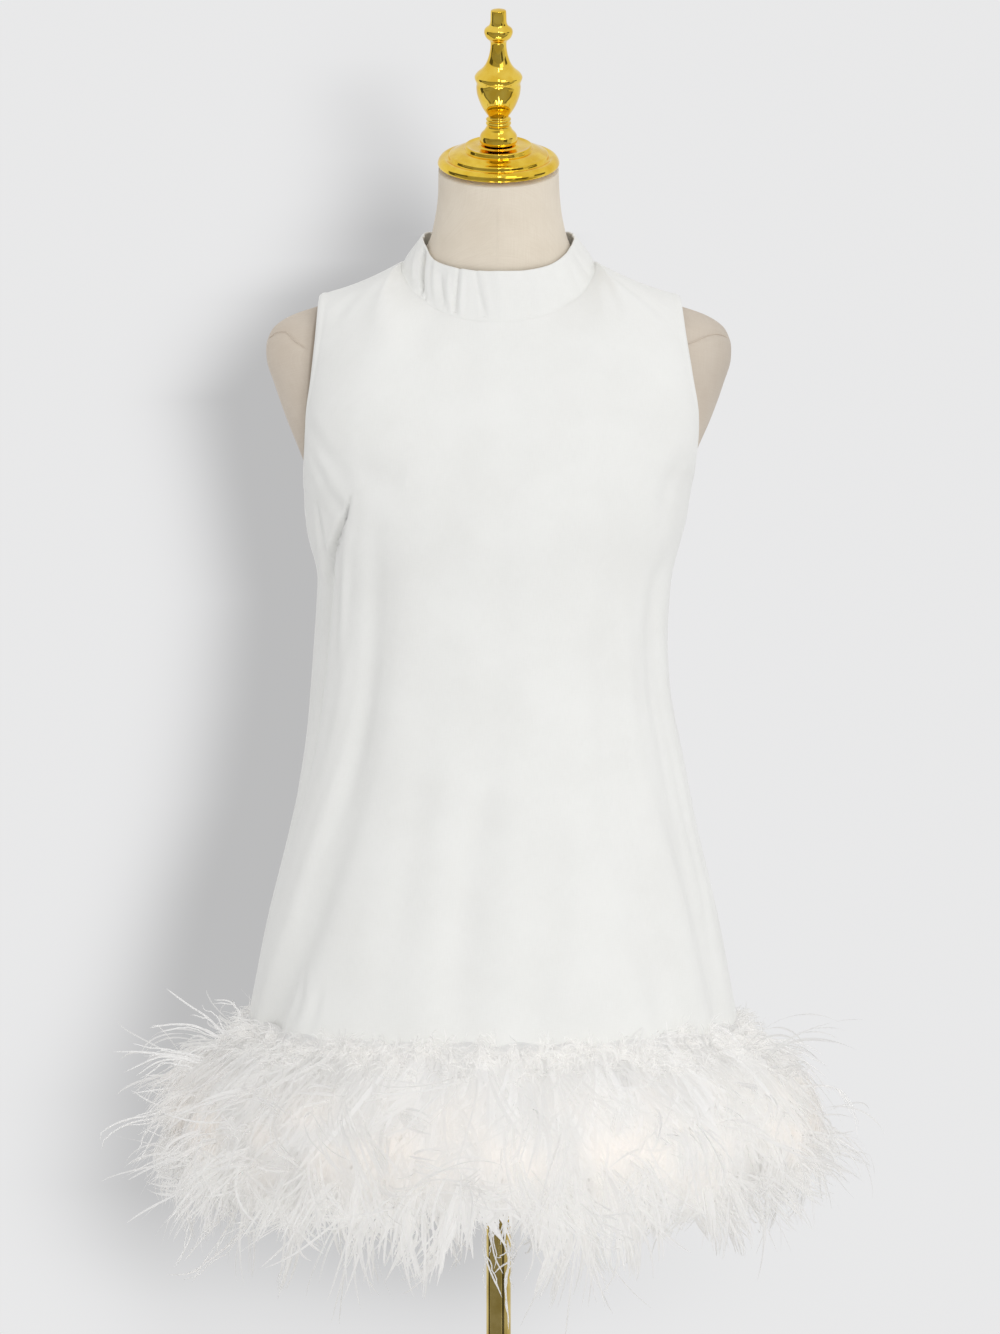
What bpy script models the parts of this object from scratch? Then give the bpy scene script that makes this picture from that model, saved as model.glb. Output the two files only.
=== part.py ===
"""A sleeveless shift dress with a stand collar and a feather-trimmed hem, on a limbless dress form with a pole stand.

Metres, +Z up. The front faces -Y and +X is to the right as seen from the front. The origin is on the floor,
under the middle of the pole. "Turn" is the angle round the body from centre front, positive towards +X, so
the side seams are at -90 and +90 degrees and the centre-back seam is at 180 degrees.
"""

import math

import bmesh
import bpy
import numpy as np
from mathutils import Matrix, Vector

# ---- driving dimensions ----
WALL = 0.0018  # cloth wall
SEAM_GAP = 0.0004  # between cut pieces
HEM_Z = 0.680  # cloth hem, under the feathers
ARMPIT_Z = 1.205
ARMHOLE_MID_Z, ARMHOLE_HALF_HEIGHT = 1.2842, 0.0792
ARMHOLE_REACH = {"front": 0.060, "back": 0.058}  # how far the armhole runs to front and back of the side seam
ARMHOLE_SQUARE = 2.5
NECK_TURN = 98.0  # where the shoulder seams meet the collar, in degrees round the neck
NECK_SHARE = 0.62  # share of a panel's top edge, from its middle, that is neckline
NECK_TILT = 24.5  # forward lean of the neck plate and finial, in degrees
NECK_TOP = (0.0, -0.0405, 1.4653)
FORM_BOTTOM_Z = 0.760
POLE_RADIUS = 0.0103
BASE_RADIUS = 0.170
BOSS_TOP_Z = 0.046
TRIM_TOP_Z, TRIM_TUCK = 0.752, 0.0030  # feather trim: its top edge, and its clearance outside the cloth
COLUMNS = 28  # facets across the front, and across the back
TRIM_REACH_X, TRIM_REACH_Y = 0.305, 0.252

# ---- the dress body, one row per horizontal section from the hem to the armpit ----
# z, half width left, half width right, depth to the front, depth to the back, squareness of the section
RINGS = (
    (0.6800, 0.2215, 0.2115, 0.1640, 0.1640, 2.15),
    (0.7617, 0.2087, 0.1988, 0.1530, 0.1510, 2.15),
    (0.8464, 0.1920, 0.1826, 0.1405, 0.1350, 2.20),
    (0.9460, 0.1680, 0.1598, 0.1285, 0.1165, 2.25),
    (0.9900, 0.1585, 0.1515, 0.1235, 0.1085, 2.27),
    (1.0373, 0.1515, 0.1423, 0.1200, 0.1030, 2.30),
    (1.0788, 0.1480, 0.1399, 0.1185, 0.1000, 2.35),
    (1.1120, 0.1475, 0.1415, 0.1190, 0.1000, 2.40),
    (1.1327, 0.1485, 0.1435, 0.1205, 0.1010, 2.45),
    (1.1618, 0.1570, 0.1506, 0.1235, 0.1035, 2.50),
    (1.1850, 0.1605, 0.1570, 0.1245, 0.1050, 2.50),
    (1.2050, 0.1610, 0.1585, 0.1235, 0.1058, 2.50),
)
# rows of facets below the armpit
BODY_ROWS = (0.680, 0.716, 0.752, 0.795, 0.845, 0.895, 0.945, 0.990, 1.030, 1.070, 1.105, 1.137, 1.170, 1.205)
YOKE_ROWS = 8  # rows of facets from the armpit to the shoulder

# ---- soft vertical folds: name, width at its top, width at the hem, then (z, turn, depth) up the fold ----
# depth is positive for a trough and negative for a ridge
FOLDS = (
    ("left_main_trough", 0.013, 0.022,
     ((0.68, -75.0, 0.013), (0.747, -71.5, 0.013), (0.845, -60.5, 0.010), (0.92, -54.5, 0.008),
      (1.05, -48.5, 0.005), (1.12, -45.0, 0.003), (1.19, -41.0, 0.0))),
    ("left_side_pocket", 0.010, 0.012,
     ((0.92, -86.0, 0.0), (0.97, -85.0, 0.004), (1.03, -83.0, 0.008), (1.08, -80.0, 0.010),
      (1.133, -69.0, 0.009), (1.166, -58.0, 0.006), (1.20, -50.0, 0.0))),
    ("left_hem_trough", 0.010, 0.014,
     ((0.68, -88.0, 0.006), (0.75, -84.0, 0.005), (0.82, -78.0, 0.0))),
    ("right_trough", 0.014, 0.022,
     ((0.68, 54.5, 0.011), (0.762, 52.0, 0.010), (0.80, 50.5, 0.009), (0.865, 45.0, 0.007),
      (0.93, 40.0, 0.005), (1.00, 39.0, 0.004), (1.14, 38.5, 0.0))),
    ("right_outer_trough", 0.012, 0.018,
     ((0.68, 75.0, 0.008), (0.762, 71.5, 0.007), (0.90, 67.0, 0.005), (1.08, 63.0, 0.004), (1.15, 60.0, 0.0))),
    ("centre_trough", 0.016, 0.024,
     ((0.68, -13.5, 0.006), (0.794, -12.0, 0.004), (0.907, -9.5, 0.003), (0.99, 0.0, 0.0))),
    ("centre_right_trough", 0.012, 0.020,
     ((0.68, 12.5, 0.004), (0.77, 11.5, 0.003), (0.86, 9.0, 0.0))),
    ("back_left_trough", 0.014, 0.024,
     ((0.68, -134.0, 0.013), (0.75, -133.0, 0.011), (0.90, -130.0, 0.006), (1.04, -127.0, 0.0))),
    ("back_inner_left_trough", 0.014, 0.020,
     ((0.68, -158.0, 0.008), (0.80, -160.0, 0.006), (0.96, -163.0, 0.0))),
    ("back_right_trough", 0.014, 0.024,
     ((0.68, 137.0, 0.012), (0.80, 134.0, 0.010), (0.92, 129.0, 0.006), (1.07, 125.0, 0.0))),
    ("back_inner_right_trough", 0.012, 0.018,
     ((0.68, 156.0, 0.007), (0.78, 157.0, 0.004), (0.88, 158.0, 0.0))),
)

# armhole edge: z, half width left, half width right
ARMHOLE_EDGE = (
    (1.2050, 0.1610, 0.1585),
    (1.2250, 0.1580, 0.1605),
    (1.2450, 0.1565, 0.1625),
    (1.2620, 0.1560, 0.1625),
    (1.2950, 0.1520, 0.1575),
    (1.3280, 0.1485, 0.1525),
    (1.3634, 0.1470, 0.1485),
)
# centre lines above the armpit, from the armpit level to the neckline: share of the way up, z, y
CENTRE_LINE = {
    "front": ((0.0, 1.2050, -0.1235), (0.33, 1.2520, -0.1140), (0.67, 1.2965, -0.1015), (1.0, 1.3397, -0.0865)),
    "back": ((0.0, 1.2050, 0.1058), (0.30, 1.2600, 0.1050), (0.60, 1.3150, 0.0965), (0.82, 1.3560, 0.0820),
             (1.0, 1.3860, 0.0660)),
}
# stand collar, lower edge and upper edge: half width, y of the middle, half depth, then z less the cosines of
# turn (lean), 2 turn (rise), 3 turn (flat) and 4 turn (square)
COLLAR_EDGES = {
    "lower": dict(half=0.0790, mid_y=-0.01025, depth=0.07625, z=1.37493, lean=0.02715, rise=0.01207, flat=-0.0040, square=0.0),
    "upper": dict(half=0.0625, mid_y=-0.01475, depth=0.06175, z=1.40108, lean=0.02196, rise=0.00655, flat=-0.00132, square=-0.00138),
}
COLLAR_COLUMNS, COLLAR_ROWS = 40, 3

# ---- feather trim, its reach outside the cloth: z, share of the full reach ----
TRIM_PROFILE = (
    (0.746, 0.20),
    (0.722, 0.62),
    (0.680, 0.93),
    (0.630, 1.00),
    (0.585, 0.86),
    (0.556, 0.50),
)
TRIM_BOTTOM_Z = 0.552

# ---- the dress form, one row per section from its flat bottom to the neck plate ----
# z of the middle, y of the middle, forward tilt in degrees, half width, depth to front, depth to back, squareness
FORM = (
    (0.7600, 0.0, 0.0, 0.1480, 0.0840, 0.1030, 2.10),
    (0.7680, 0.0, 0.0, 0.1570, 0.0920, 0.1110, 2.10),
    (0.7850, 0.0, 0.0, 0.1630, 0.0980, 0.1170, 2.10),
    (0.8200, 0.0, 0.0, 0.1660, 0.1010, 0.1210, 2.10),
    (0.8700, 0.0, 0.0, 0.1610, 0.0980, 0.1160, 2.10),
    (0.9200, 0.0, 0.0, 0.1460, 0.0920, 0.1020, 2.10),
    (0.9650, 0.0, 0.0, 0.1280, 0.0850, 0.0880, 2.10),
    (1.0100, 0.0, 0.0, 0.1165, 0.0820, 0.0780, 2.10),
    (1.0500, 0.0, 0.0, 0.1180, 0.0870, 0.0790, 2.10),
    (1.0900, 0.0, 0.0, 0.1260, 0.0980, 0.0850, 2.15),
    (1.1300, 0.0, 0.0, 0.1370, 0.1090, 0.0910, 2.25),
    (1.1700, 0.0, 0.0, 0.1470, 0.1150, 0.0950, 2.35),
    (1.2050, 0.0, 0.0, 0.1525, 0.1125, 0.0960, 2.30),
    (1.2350, 0.0, 0.0, 0.1640, 0.1050, 0.0955, 2.20),
    (1.2620, 0.0, 0.0, 0.1755, 0.0970, 0.0940, 2.10),
    (1.2900, 0.0, 0.0, 0.1855, 0.0905, 0.0900, 2.00),
    (1.3120, 0.0, 0.0, 0.1920, 0.0870, 0.0860, 1.90),
    (1.3280, 0.0, 0.0, 0.1905, 0.0840, 0.0830, 1.75),
    (1.3395, 0.0, 0.0, 0.1835, 0.0775, 0.0800, 1.60),
    (1.3480, 0.0, 0.0, 0.1690, 0.0715, 0.0770, 1.50),
    (1.3565, -0.0010, 2.0, 0.1430, 0.0665, 0.0740, 1.45),
    (1.3660, -0.0030, 5.0, 0.1130, 0.0645, 0.0690, 1.45),
    (1.3755, -0.0060, 9.0, 0.0870, 0.0635, 0.0645, 1.55),
    (1.3860, -0.0100, 13.0, 0.0700, 0.0615, 0.0590, 1.70),
    (1.3966, -0.0154, 17.0, 0.0620, 0.0585, 0.0555, 1.90),
    (1.4079, -0.0196, 19.0, 0.0560, 0.0550, 0.0535, 2.00),
    (1.4200, -0.0241, 20.0, 0.0530, 0.0525, 0.0515, 2.00),
    (1.4388, -0.0311, 22.0, 0.0497, 0.0497, 0.0497, 2.00),
    (1.4653, -0.0405, 24.5, 0.0485, 0.0485, 0.0485, 2.00),
)
FORM_COLUMNS = 28

# ---- turned profiles, from the top of the axis round the outside to the bottom: radius, height ----
CAP_PROFILE = (
    (0.0, 0.0183), (0.0150, 0.0183), (0.0162, 0.0172), (0.0200, 0.0170), (0.0226, 0.0173), (0.0262, 0.0165),
    (0.0300, 0.0148), (0.0335, 0.0125), (0.0365, 0.0104), (0.0384, 0.0090), (0.0392, 0.0079), (0.0410, 0.0078),
    (0.0445, 0.0080), (0.0475, 0.0068), (0.0492, 0.0045), (0.0496, 0.0020), (0.0493, 0.0010), (0.0478, 0.0006),
    (0.0, 0.0006),
)
FINIAL_PROFILE = (
    (0.0, 0.1287), (0.0054, 0.1278), (0.0063, 0.1269), (0.0065, 0.1158), (0.0110, 0.1129), (0.0117, 0.1096),
    (0.0101, 0.1055), (0.0064, 0.1027), (0.0064, 0.0975), (0.0076, 0.0907), (0.0101, 0.0841), (0.0132, 0.0800),
    (0.0175, 0.0767), (0.0197, 0.0733), (0.0175, 0.0683), (0.0180, 0.0652), (0.0175, 0.0598), (0.0158, 0.0545),
    (0.0135, 0.0491), (0.0101, 0.0438), (0.0078, 0.0408), (0.0104, 0.0391), (0.0094, 0.0370), (0.0104, 0.0357),
    (0.0094, 0.0333), (0.0104, 0.0316), (0.0114, 0.0296), (0.0147, 0.0263), (0.0154, 0.0223), (0.0150, 0.0186),
    (0.0, 0.0186),
)
BASE_PROFILE = (
    (0.0, BOSS_TOP_Z), (0.0185, BOSS_TOP_Z), (0.0200, 0.0440), (0.0215, 0.0340), (0.0260, 0.0270), (0.0360, 0.0225),
    (0.0800, 0.0180), (0.1300, 0.0130), (0.1640, 0.0090), (0.1690, 0.0065), (BASE_RADIUS, 0.0040),
    (BASE_RADIUS - 0.0010, 0.0), (0.0, 0.0),
)

# ---- concealed zip, its slider at the top of the collar ----
SLIDER_Z = 1.4080
PIN_LIFT = 0.0034  # hinge pin above the collar's surface
PULL_LENGTH = 0.0170


def smooth(rows, at):
    """Every column of a table at one value of its first column, on a smooth curve through the rows."""
    table = np.array(rows, float)
    key, value = table[:, 0], table[:, 1:]
    slope = np.gradient(value, key, axis=0)
    at = np.clip(np.asarray(at, float), key[0], key[-1])
    i = np.clip(np.searchsorted(key, at, side="right") - 1, 0, len(key) - 2)
    span = (key[i + 1] - key[i])[..., None]
    t = (at - key[i])[..., None] / span
    return (
        (1 + 2 * t) * (1 - t) ** 2 * value[i]
        + t * (1 - t) ** 2 * span * slope[i]
        + t * t * (3 - 2 * t) * value[i + 1]
        + t * t * (t - 1) * span * slope[i + 1]
    )


def section(turn, left, right, front, back, square):
    """x and y on a closed section, and its outward direction, at a turn in radians."""
    s, c = np.sin(turn), np.cos(turn)
    a = np.where(s < 0, left, right)
    b = np.where(c > 0, front, back)
    r = (np.abs(s / a) ** square + np.abs(c / b) ** square) ** (-1 / square)
    x, y = r * s, -r * c
    nx = np.sign(x) * np.abs(x / a) ** (square - 1) / a
    ny = np.sign(y) * np.abs(y / b) ** (square - 1) / b
    size = np.hypot(nx, ny)
    return x, y, nx / size, ny / size


def fold_depth(turn, z, radius):
    """How far the folds push the cloth in at this place."""
    total = np.zeros(np.broadcast(turn, z).shape)
    for _, width_top, width_hem, path in FOLDS:
        low, high = path[0][0], path[-1][0]
        middle, depth = np.moveaxis(smooth(path, z), -1, 0)
        width = width_hem + (width_top - width_hem) * np.clip((z - HEM_Z) / (high - HEM_Z), 0, 1)
        away = (turn - np.radians(middle) + math.pi) % (2 * math.pi) - math.pi
        inside = (z <= high) & (z >= min(low, HEM_Z) if low <= HEM_Z else (z >= low))
        total += np.where(inside, depth * np.exp(-((away * radius / width) ** 2)), 0)
    return total


def body_point(turn, z, out=0.0, folds=1.0):
    """A point of the dress below the armpit, moved out from the cloth's outer face."""
    turn, z = np.broadcast_arrays(np.asarray(turn, float), np.asarray(z, float))
    left, right, front, back, square = np.moveaxis(smooth(RINGS, z), -1, 0)
    x, y, nx, ny = section(turn, left, right, front, back, square)
    push = out - folds * fold_depth(turn, z, np.hypot(x, y))
    return np.stack([x + nx * push, y + ny * push, z], -1)


def collar_edge(name, turn):
    e = COLLAR_EDGES[name]
    return np.stack(
        [
            e["half"] * np.sin(turn),
            e["mid_y"] - e["depth"] * np.cos(turn),
            e["z"]
            - e["lean"] * np.cos(turn)
            - e["rise"] * np.cos(2 * turn)
            - e["flat"] * np.cos(3 * turn)
            - e["square"] * np.cos(4 * turn),
        ],
        -1,
    )


def panel_top(panel, u):
    """The top edge of a panel: neckline in the middle, then the shoulder seams, for u from -1 to 1."""
    side, share = np.sign(u), np.abs(u)
    neck_turn = np.clip(share / NECK_SHARE, 0, 1) * math.radians(NECK_TURN if panel == "front" else 180 - NECK_TURN)
    turn = neck_turn if panel == "front" else math.pi - neck_turn
    neck = collar_edge("lower", turn)
    along = np.clip((share - NECK_SHARE) / (1 - NECK_SHARE), 0, 1)
    end = np.where(side < 0, ARMHOLE_EDGE[-1][1], ARMHOLE_EDGE[-1][2])
    x = neck[..., 0] + (end - neck[..., 0]) * along
    y = neck[..., 1] * (1 - along)
    z = neck[..., 2] + (ARMHOLE_EDGE[-1][0] - neck[..., 2]) * along - 0.003 * np.sin(math.pi * along)
    return np.stack([x * np.where(side < 0, -1, 1), y, z], -1)


def yoke_point(panel, u, t):
    """A point of a panel above the armpit, for u across it from -1 to 1 and t from the armpit, 0, to the shoulder, 1."""
    u, t = np.broadcast_arrays(np.asarray(u, float), np.asarray(t, float))
    facing = -1 if panel == "front" else 1
    turn = u * math.pi / 2 if panel == "front" else math.pi - u * math.pi / 2
    climb = np.sin(math.pi * t - math.pi / 2)
    arm_z = ARMHOLE_MID_Z + ARMHOLE_HALF_HEIGHT * climb
    square = ARMHOLE_SQUARE
    arm_y = facing * ARMHOLE_REACH[panel] * np.clip(1 - np.abs(climb) ** square, 0, 1) ** (1 / square)
    left, right = np.moveaxis(smooth(ARMHOLE_EDGE, arm_z), -1, 0)
    arm_x = np.where(u < 0, left, right)
    mid_z, mid_y = np.moveaxis(smooth(CENTRE_LINE[panel], t), -1, 0)

    foot = body_point(turn, ARMPIT_Z)
    foot_x = np.abs(foot[..., 0]) / np.where(u < 0, RINGS[-1][1], RINGS[-1][2])
    foot_y = foot[..., 1] / CENTRE_LINE[panel][0][2]
    top = panel_top(panel, u)
    top_end = panel_top(panel, np.where(u < 0, -1.0, 1.0))
    top_mid = panel_top(panel, np.zeros_like(u))
    top_x = np.abs(top[..., 0] / top_end[..., 0])
    top_y = top[..., 1] / top_mid[..., 1]

    across, along, lift = t**2, t**3, t**2 * (3 - 2 * t)
    fall = 1 - u**2
    x = np.sign(u) * arm_x * ((1 - across) * foot_x + across * top_x)
    y = arm_y + (mid_y - arm_y) * ((1 - along) * foot_y + along * top_y)
    straight = top_end[..., 2] + (top_mid[..., 2] - top_end[..., 2]) * fall
    z = arm_z + (mid_z - arm_z) * fall + lift * (top[..., 2] - straight)
    return np.stack([x, y, z], -1)


def panel_grid(panel, u_from, u_to, columns):
    """Rows of points of a panel from the hem to its top edge."""
    u = np.linspace(u_from, u_to, columns + 1)
    turn = u * math.pi / 2 if panel == "front" else math.pi - u * math.pi / 2
    rows = [body_point(turn, z) for z in BODY_ROWS]
    for k in range(1, YOKE_ROWS + 1):
        rows.append(yoke_point(panel, u, k / YOKE_ROWS))
    return np.array(rows), u


def grid_normals(grid, outward_from):
    """Unit normals of a grid of points, away from a line of points inside."""
    down = np.gradient(grid, axis=0)
    over = np.gradient(grid, axis=1)
    normal = np.cross(over, down)
    normal /= np.linalg.norm(normal, axis=-1, keepdims=True)
    away = ((grid - outward_from) * normal).sum(-1)
    return normal * (1 if np.median(away) > 0 else -1)


def closed_wall(outer, inner):
    """Vertices and faces of a closed wall between two grids of the same shape."""
    rows, columns = outer.shape[:2]
    points = np.concatenate([outer.reshape(-1, 3), inner.reshape(-1, 3)])
    shift = rows * columns

    def at(i, j, layer):
        return i * columns + j + layer * shift

    faces = []
    for i in range(rows - 1):
        for j in range(columns - 1):
            faces.append((at(i, j, 0), at(i, j + 1, 0), at(i + 1, j + 1, 0), at(i + 1, j, 0)))
            faces.append((at(i, j, 1), at(i + 1, j, 1), at(i + 1, j + 1, 1), at(i, j + 1, 1)))
    for i in range(rows - 1):
        faces.append((at(i, 0, 1), at(i, 0, 0), at(i + 1, 0, 0), at(i + 1, 0, 1)))
        last = columns - 1
        faces.append((at(i, last, 0), at(i, last, 1), at(i + 1, last, 1), at(i + 1, last, 0)))
    for j in range(columns - 1):
        faces.append((at(0, j, 1), at(0, j + 1, 1), at(0, j + 1, 0), at(0, j, 0)))
        last = rows - 1
        faces.append((at(last, j, 0), at(last, j + 1, 0), at(last, j + 1, 1), at(last, j, 1)))
    return points, faces


def closed_ring(rows):
    """Vertices and faces of a closed ring: each row is a loop round the axis, and the rows close on themselves."""
    count, around = rows.shape[:2]
    faces = []
    for i in range(count):
        k = (i + 1) % count
        for j in range(around):
            m = (j + 1) % around
            faces.append((i * around + j, i * around + m, k * around + m, k * around + j))
    return rows.reshape(-1, 3), faces


def volume_of(points, faces):
    total = 0.0
    for face in faces:
        a = points[face[0]]
        for k in range(1, len(face) - 1):
            total += np.dot(a, np.cross(points[face[k]], points[face[k + 1]]))
    return total / 6


def material(name, colour, roughness, metallic=0.0):
    made = bpy.data.materials.new(name)
    made.use_nodes = True
    shader = made.node_tree.nodes["Principled BSDF"]
    shader.inputs["Base Color"].default_value = (*colour, 1)
    shader.inputs["Roughness"].default_value = roughness
    shader.inputs["Metallic"].default_value = metallic
    return made


def add_object(name, mesh, surface, smooth_angle=35):
    mesh.materials.append(surface)
    made = bpy.data.objects.new(name, mesh)
    bpy.context.scene.collection.objects.link(made)
    mesh.shade_smooth()
    mesh.set_sharp_from_angle(angle=math.radians(smooth_angle))
    return made


def mesh_from(name, points, faces):
    if volume_of(points, faces) < 0:
        faces = [tuple(reversed(face)) for face in faces]
    mesh = bpy.data.meshes.new(name)
    mesh.from_pydata([tuple(map(float, p)) for p in points], [], faces)
    mesh.validate()
    return mesh


def dress_panel(name, panel, u_from, u_to, columns, surface):
    grid, u = panel_grid(panel, u_from, u_to, columns)
    spine = np.zeros_like(grid)
    spine[..., 2] = grid[..., 2] - 0.04
    normal = grid_normals(grid, spine)
    first_yoke = len(BODY_ROWS)
    facing = -1 if panel == "front" else 1
    shoulder = np.abs(u) >= NECK_SHARE - 1e-9

    # Walls end square to the seam line, so that neighbouring panels stay a seam gap apart.
    for edge in (0, -1):
        if abs(abs(u[edge]) - 1) < 1e-9:
            normal[:first_yoke, edge, 1] = 0
            grid[:first_yoke, edge, 1] = facing * SEAM_GAP / 2
        if abs(u[edge]) < 1e-9:
            normal[:, edge, 0] = 0
            grid[:, edge, 0] = (1 if u_from + u_to > 0 else -1) * SEAM_GAP / 2
    normal[-1, shoulder, 1] = 0
    grid[-1, shoulder, 1] = facing * SEAM_GAP / 2
    step = grid[-2] - grid[-1]
    step /= np.linalg.norm(step, axis=-1, keepdims=True)
    grid[-1, ~shoulder] += 2 * SEAM_GAP * step[~shoulder]
    normal /= np.linalg.norm(normal, axis=-1, keepdims=True)
    points, faces = closed_wall(grid, grid - WALL * normal)
    return add_object(name, mesh_from(name, points, faces), surface)


def collar_band(name, surface):
    gap = SEAM_GAP / 2 / COLLAR_EDGES["lower"]["depth"]
    turn = np.linspace(math.pi + gap, 3 * math.pi - gap, COLLAR_COLUMNS + 1)
    low, high = collar_edge("lower", turn), collar_edge("upper", turn)
    low = low + (high - low) * 0.015
    share = np.linspace(0, 1, COLLAR_ROWS + 1)[:, None, None]
    grid = low + (high - low) * share
    middle = np.zeros_like(grid)
    middle[..., 1], middle[..., 2] = -0.0125, grid[..., 2]
    normal = grid_normals(grid, middle)
    for edge in (0, -1):
        normal[:, edge, 0] = 0
    normal /= np.linalg.norm(normal, axis=-1, keepdims=True)
    points, faces = closed_wall(grid, grid - WALL * normal)
    return add_object(name, mesh_from(name, points, faces), surface)


def feather_ring(name, surface):
    """The reach of the fringe: an inner face just outside the cloth, and a rounded outer face."""
    turn = np.concatenate(
        [
            np.linspace(-math.pi / 2, math.pi / 2, COLUMNS + 1)[:-1],
            np.linspace(math.pi / 2, 3 * math.pi / 2, COLUMNS + 1)[:-1],
        ]
    )
    hem = np.array(RINGS[0][1:5])
    reach = np.array([TRIM_REACH_X, TRIM_REACH_X, TRIM_REACH_Y, TRIM_REACH_Y])
    rows = [body_point(turn, z, TRIM_TUCK) for z in (TRIM_TOP_Z, 0.716, HEM_Z)]
    under = body_point(turn, HEM_Z, TRIM_TUCK)
    for z in (0.640, 0.595, TRIM_BOTTOM_Z + 0.004):
        row = under.copy()
        row[:, 2] = z
        rows.append(row)
    for z, share in ((TRIM_BOTTOM_Z, 0.25), *reversed(TRIM_PROFILE)):
        inside = np.maximum(hem, smooth(RINGS, max(z, HEM_Z))[:4])
        ends = inside + (reach - inside) * share
        x, y, _, _ = section(turn, *ends, 2.1)
        rows.append(np.stack([x, y, np.full_like(x, z)], -1))
    points, faces = closed_ring(np.array(rows))
    return add_object(name, mesh_from(name, points, faces), surface, 60)


def form_body(name, surface):
    turn = np.linspace(0, 2 * math.pi, FORM_COLUMNS + 1)[:-1]
    rows = []
    for z, mid_y, tilt, half, front, back, square in FORM:
        x, y, _, _ = section(turn, half, half, front, back, square)
        lean = math.radians(tilt)
        rows.append(np.stack([x, mid_y + y * math.cos(lean), z + y * math.sin(lean)], -1))
    rows = np.array(rows)
    count, around = rows.shape[:2]
    points = rows.reshape(-1, 3)
    faces = [tuple(reversed(range(around))), tuple((count - 1) * around + j for j in range(around))]
    for i in range(count - 1):
        for j in range(around):
            m = (j + 1) % around
            faces.append((i * around + j, i * around + m, (i + 1) * around + m, (i + 1) * around + j))
    return add_object(name, mesh_from(name, points, faces), surface, 60)


def turned(name, profile, steps, surface):
    """A profile swept round Z by a Screw modifier."""
    mesh = bpy.data.meshes.new(name)
    mesh.from_pydata([(r, 0, z) for r, z in profile], [(k, k + 1) for k in range(len(profile) - 1)], [])
    mesh.materials.append(surface)
    made = bpy.data.objects.new(name, mesh)
    bpy.context.scene.collection.objects.link(made)
    screw = made.modifiers.new("turn", "SCREW")
    screw.axis = "Z"
    screw.steps = screw.render_steps = steps
    screw.use_merge_vertices = True
    screw.merge_threshold = 0.0001
    screw.use_smooth_shade = True
    return made


def zip_frame():
    """The slider's frame on the collar at centre back: origin on the cloth, X across, Y down the zip, Z outward."""
    low, high = collar_edge("lower", math.pi), collar_edge("upper", math.pi)
    t = (SLIDER_Z - low[2]) / (high[2] - low[2])
    place = low + (high - low) * t
    down = Vector(low - high).normalized()
    across = Vector((-1, 0, 0))
    out = across.cross(down).normalized()
    if out.y < 0:
        across, out = -across, -out
    frame = Matrix((across, down, out)).transposed().to_4x4()
    frame.translation = Vector(place)
    return frame


def box(size, centre):
    work = bmesh.new()
    bmesh.ops.create_cube(work, size=1, matrix=Matrix.Translation(centre) @ Matrix.Diagonal((*size, 1)))
    return work


def rod(radius, length, centre, sides=12):
    """A round bar along X."""
    work = bmesh.new()
    turn_to_x = Matrix.Rotation(math.pi / 2, 4, "Y")
    bmesh.ops.create_cone(
        work, cap_ends=True, segments=sides, radius1=radius, radius2=radius, depth=length,
        matrix=Matrix.Translation(centre) @ turn_to_x,
    )
    return work


def from_bmesh(name, work, surface, hidden=False):
    mesh = bpy.data.meshes.new(name)
    work.to_mesh(mesh)
    work.free()
    made = add_object(name, mesh, surface)
    if hidden:
        made.hide_render = True
        made.display_type = "WIRE"
    return made


def boolean(target, other, operation):
    change = target.modifiers.new(operation.lower(), "BOOLEAN")
    change.operation = operation
    change.object = other


def zip_slider(name, surface, frame):
    """A plate with two ears that carry the hinge pin."""
    lift = 0.0004
    plate = box((0.0062, 0.0090, 0.0016), (0, 0, lift + 0.0008))
    bmesh.ops.bevel(plate, geom=plate.edges[:], offset=0.0005, segments=1, affect="EDGES")
    made = from_bmesh(name, plate, surface)
    made.matrix_world = frame
    pieces = [
        box((0.0009, 0.0030, PIN_LIFT + 0.0008 - lift - 0.0006), (side * 0.0024, 0, (PIN_LIFT + 0.0008 + lift + 0.0006) / 2))
        for side in (-1, 1)
    ] + [rod(0.0005, 0.0052, (0, 0, PIN_LIFT))]
    for k, work in enumerate(pieces):
        part = from_bmesh(f"{name}_join_{k}", work, surface, hidden=True)
        part.matrix_world = frame
        boolean(made, part, "UNION")
    return made


def zip_pull(name, surface, frame):
    """A teardrop tab with an eye round the hinge pin. Its origin is on the pin's axis."""
    hinge = frame @ Matrix.Translation((0, 0, PIN_LIFT))
    work = bmesh.new()
    outline = []
    for k in range(9):  # rounded foot of the teardrop
        turn = math.pi * k / 8
        outline.append((0.0030 * math.cos(turn), PULL_LENGTH - 0.0030 + 0.0030 * math.sin(turn)))
    outline += [(-0.0017, 0.0060), (-0.0014, 0.0), (0.0014, 0.0), (0.0017, 0.0060)]
    low, high = -0.00135, -0.00015
    verts = [work.verts.new((x, y, low)) for x, y in outline]
    face = work.faces.new(verts)
    grown = bmesh.ops.extrude_face_region(work, geom=[face])
    bmesh.ops.translate(
        work, vec=(0, 0, high - low), verts=[v for v in grown["geom"] if isinstance(v, bmesh.types.BMVert)]
    )
    bmesh.ops.recalc_face_normals(work, faces=work.faces)
    made = from_bmesh(name, work, surface)
    made.matrix_world = hinge
    eye = from_bmesh(f"{name}_eye", rod(0.00135, 0.0028, (0, 0, 0), 16), surface, hidden=True)
    eye.matrix_world = hinge
    boolean(made, eye, "UNION")
    bore = from_bmesh(f"{name}_bore", rod(0.00057, 0.0060, (0, 0, 0), 16), surface, hidden=True)
    bore.matrix_world = hinge
    boolean(made, bore, "DIFFERENCE")
    return made


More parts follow.
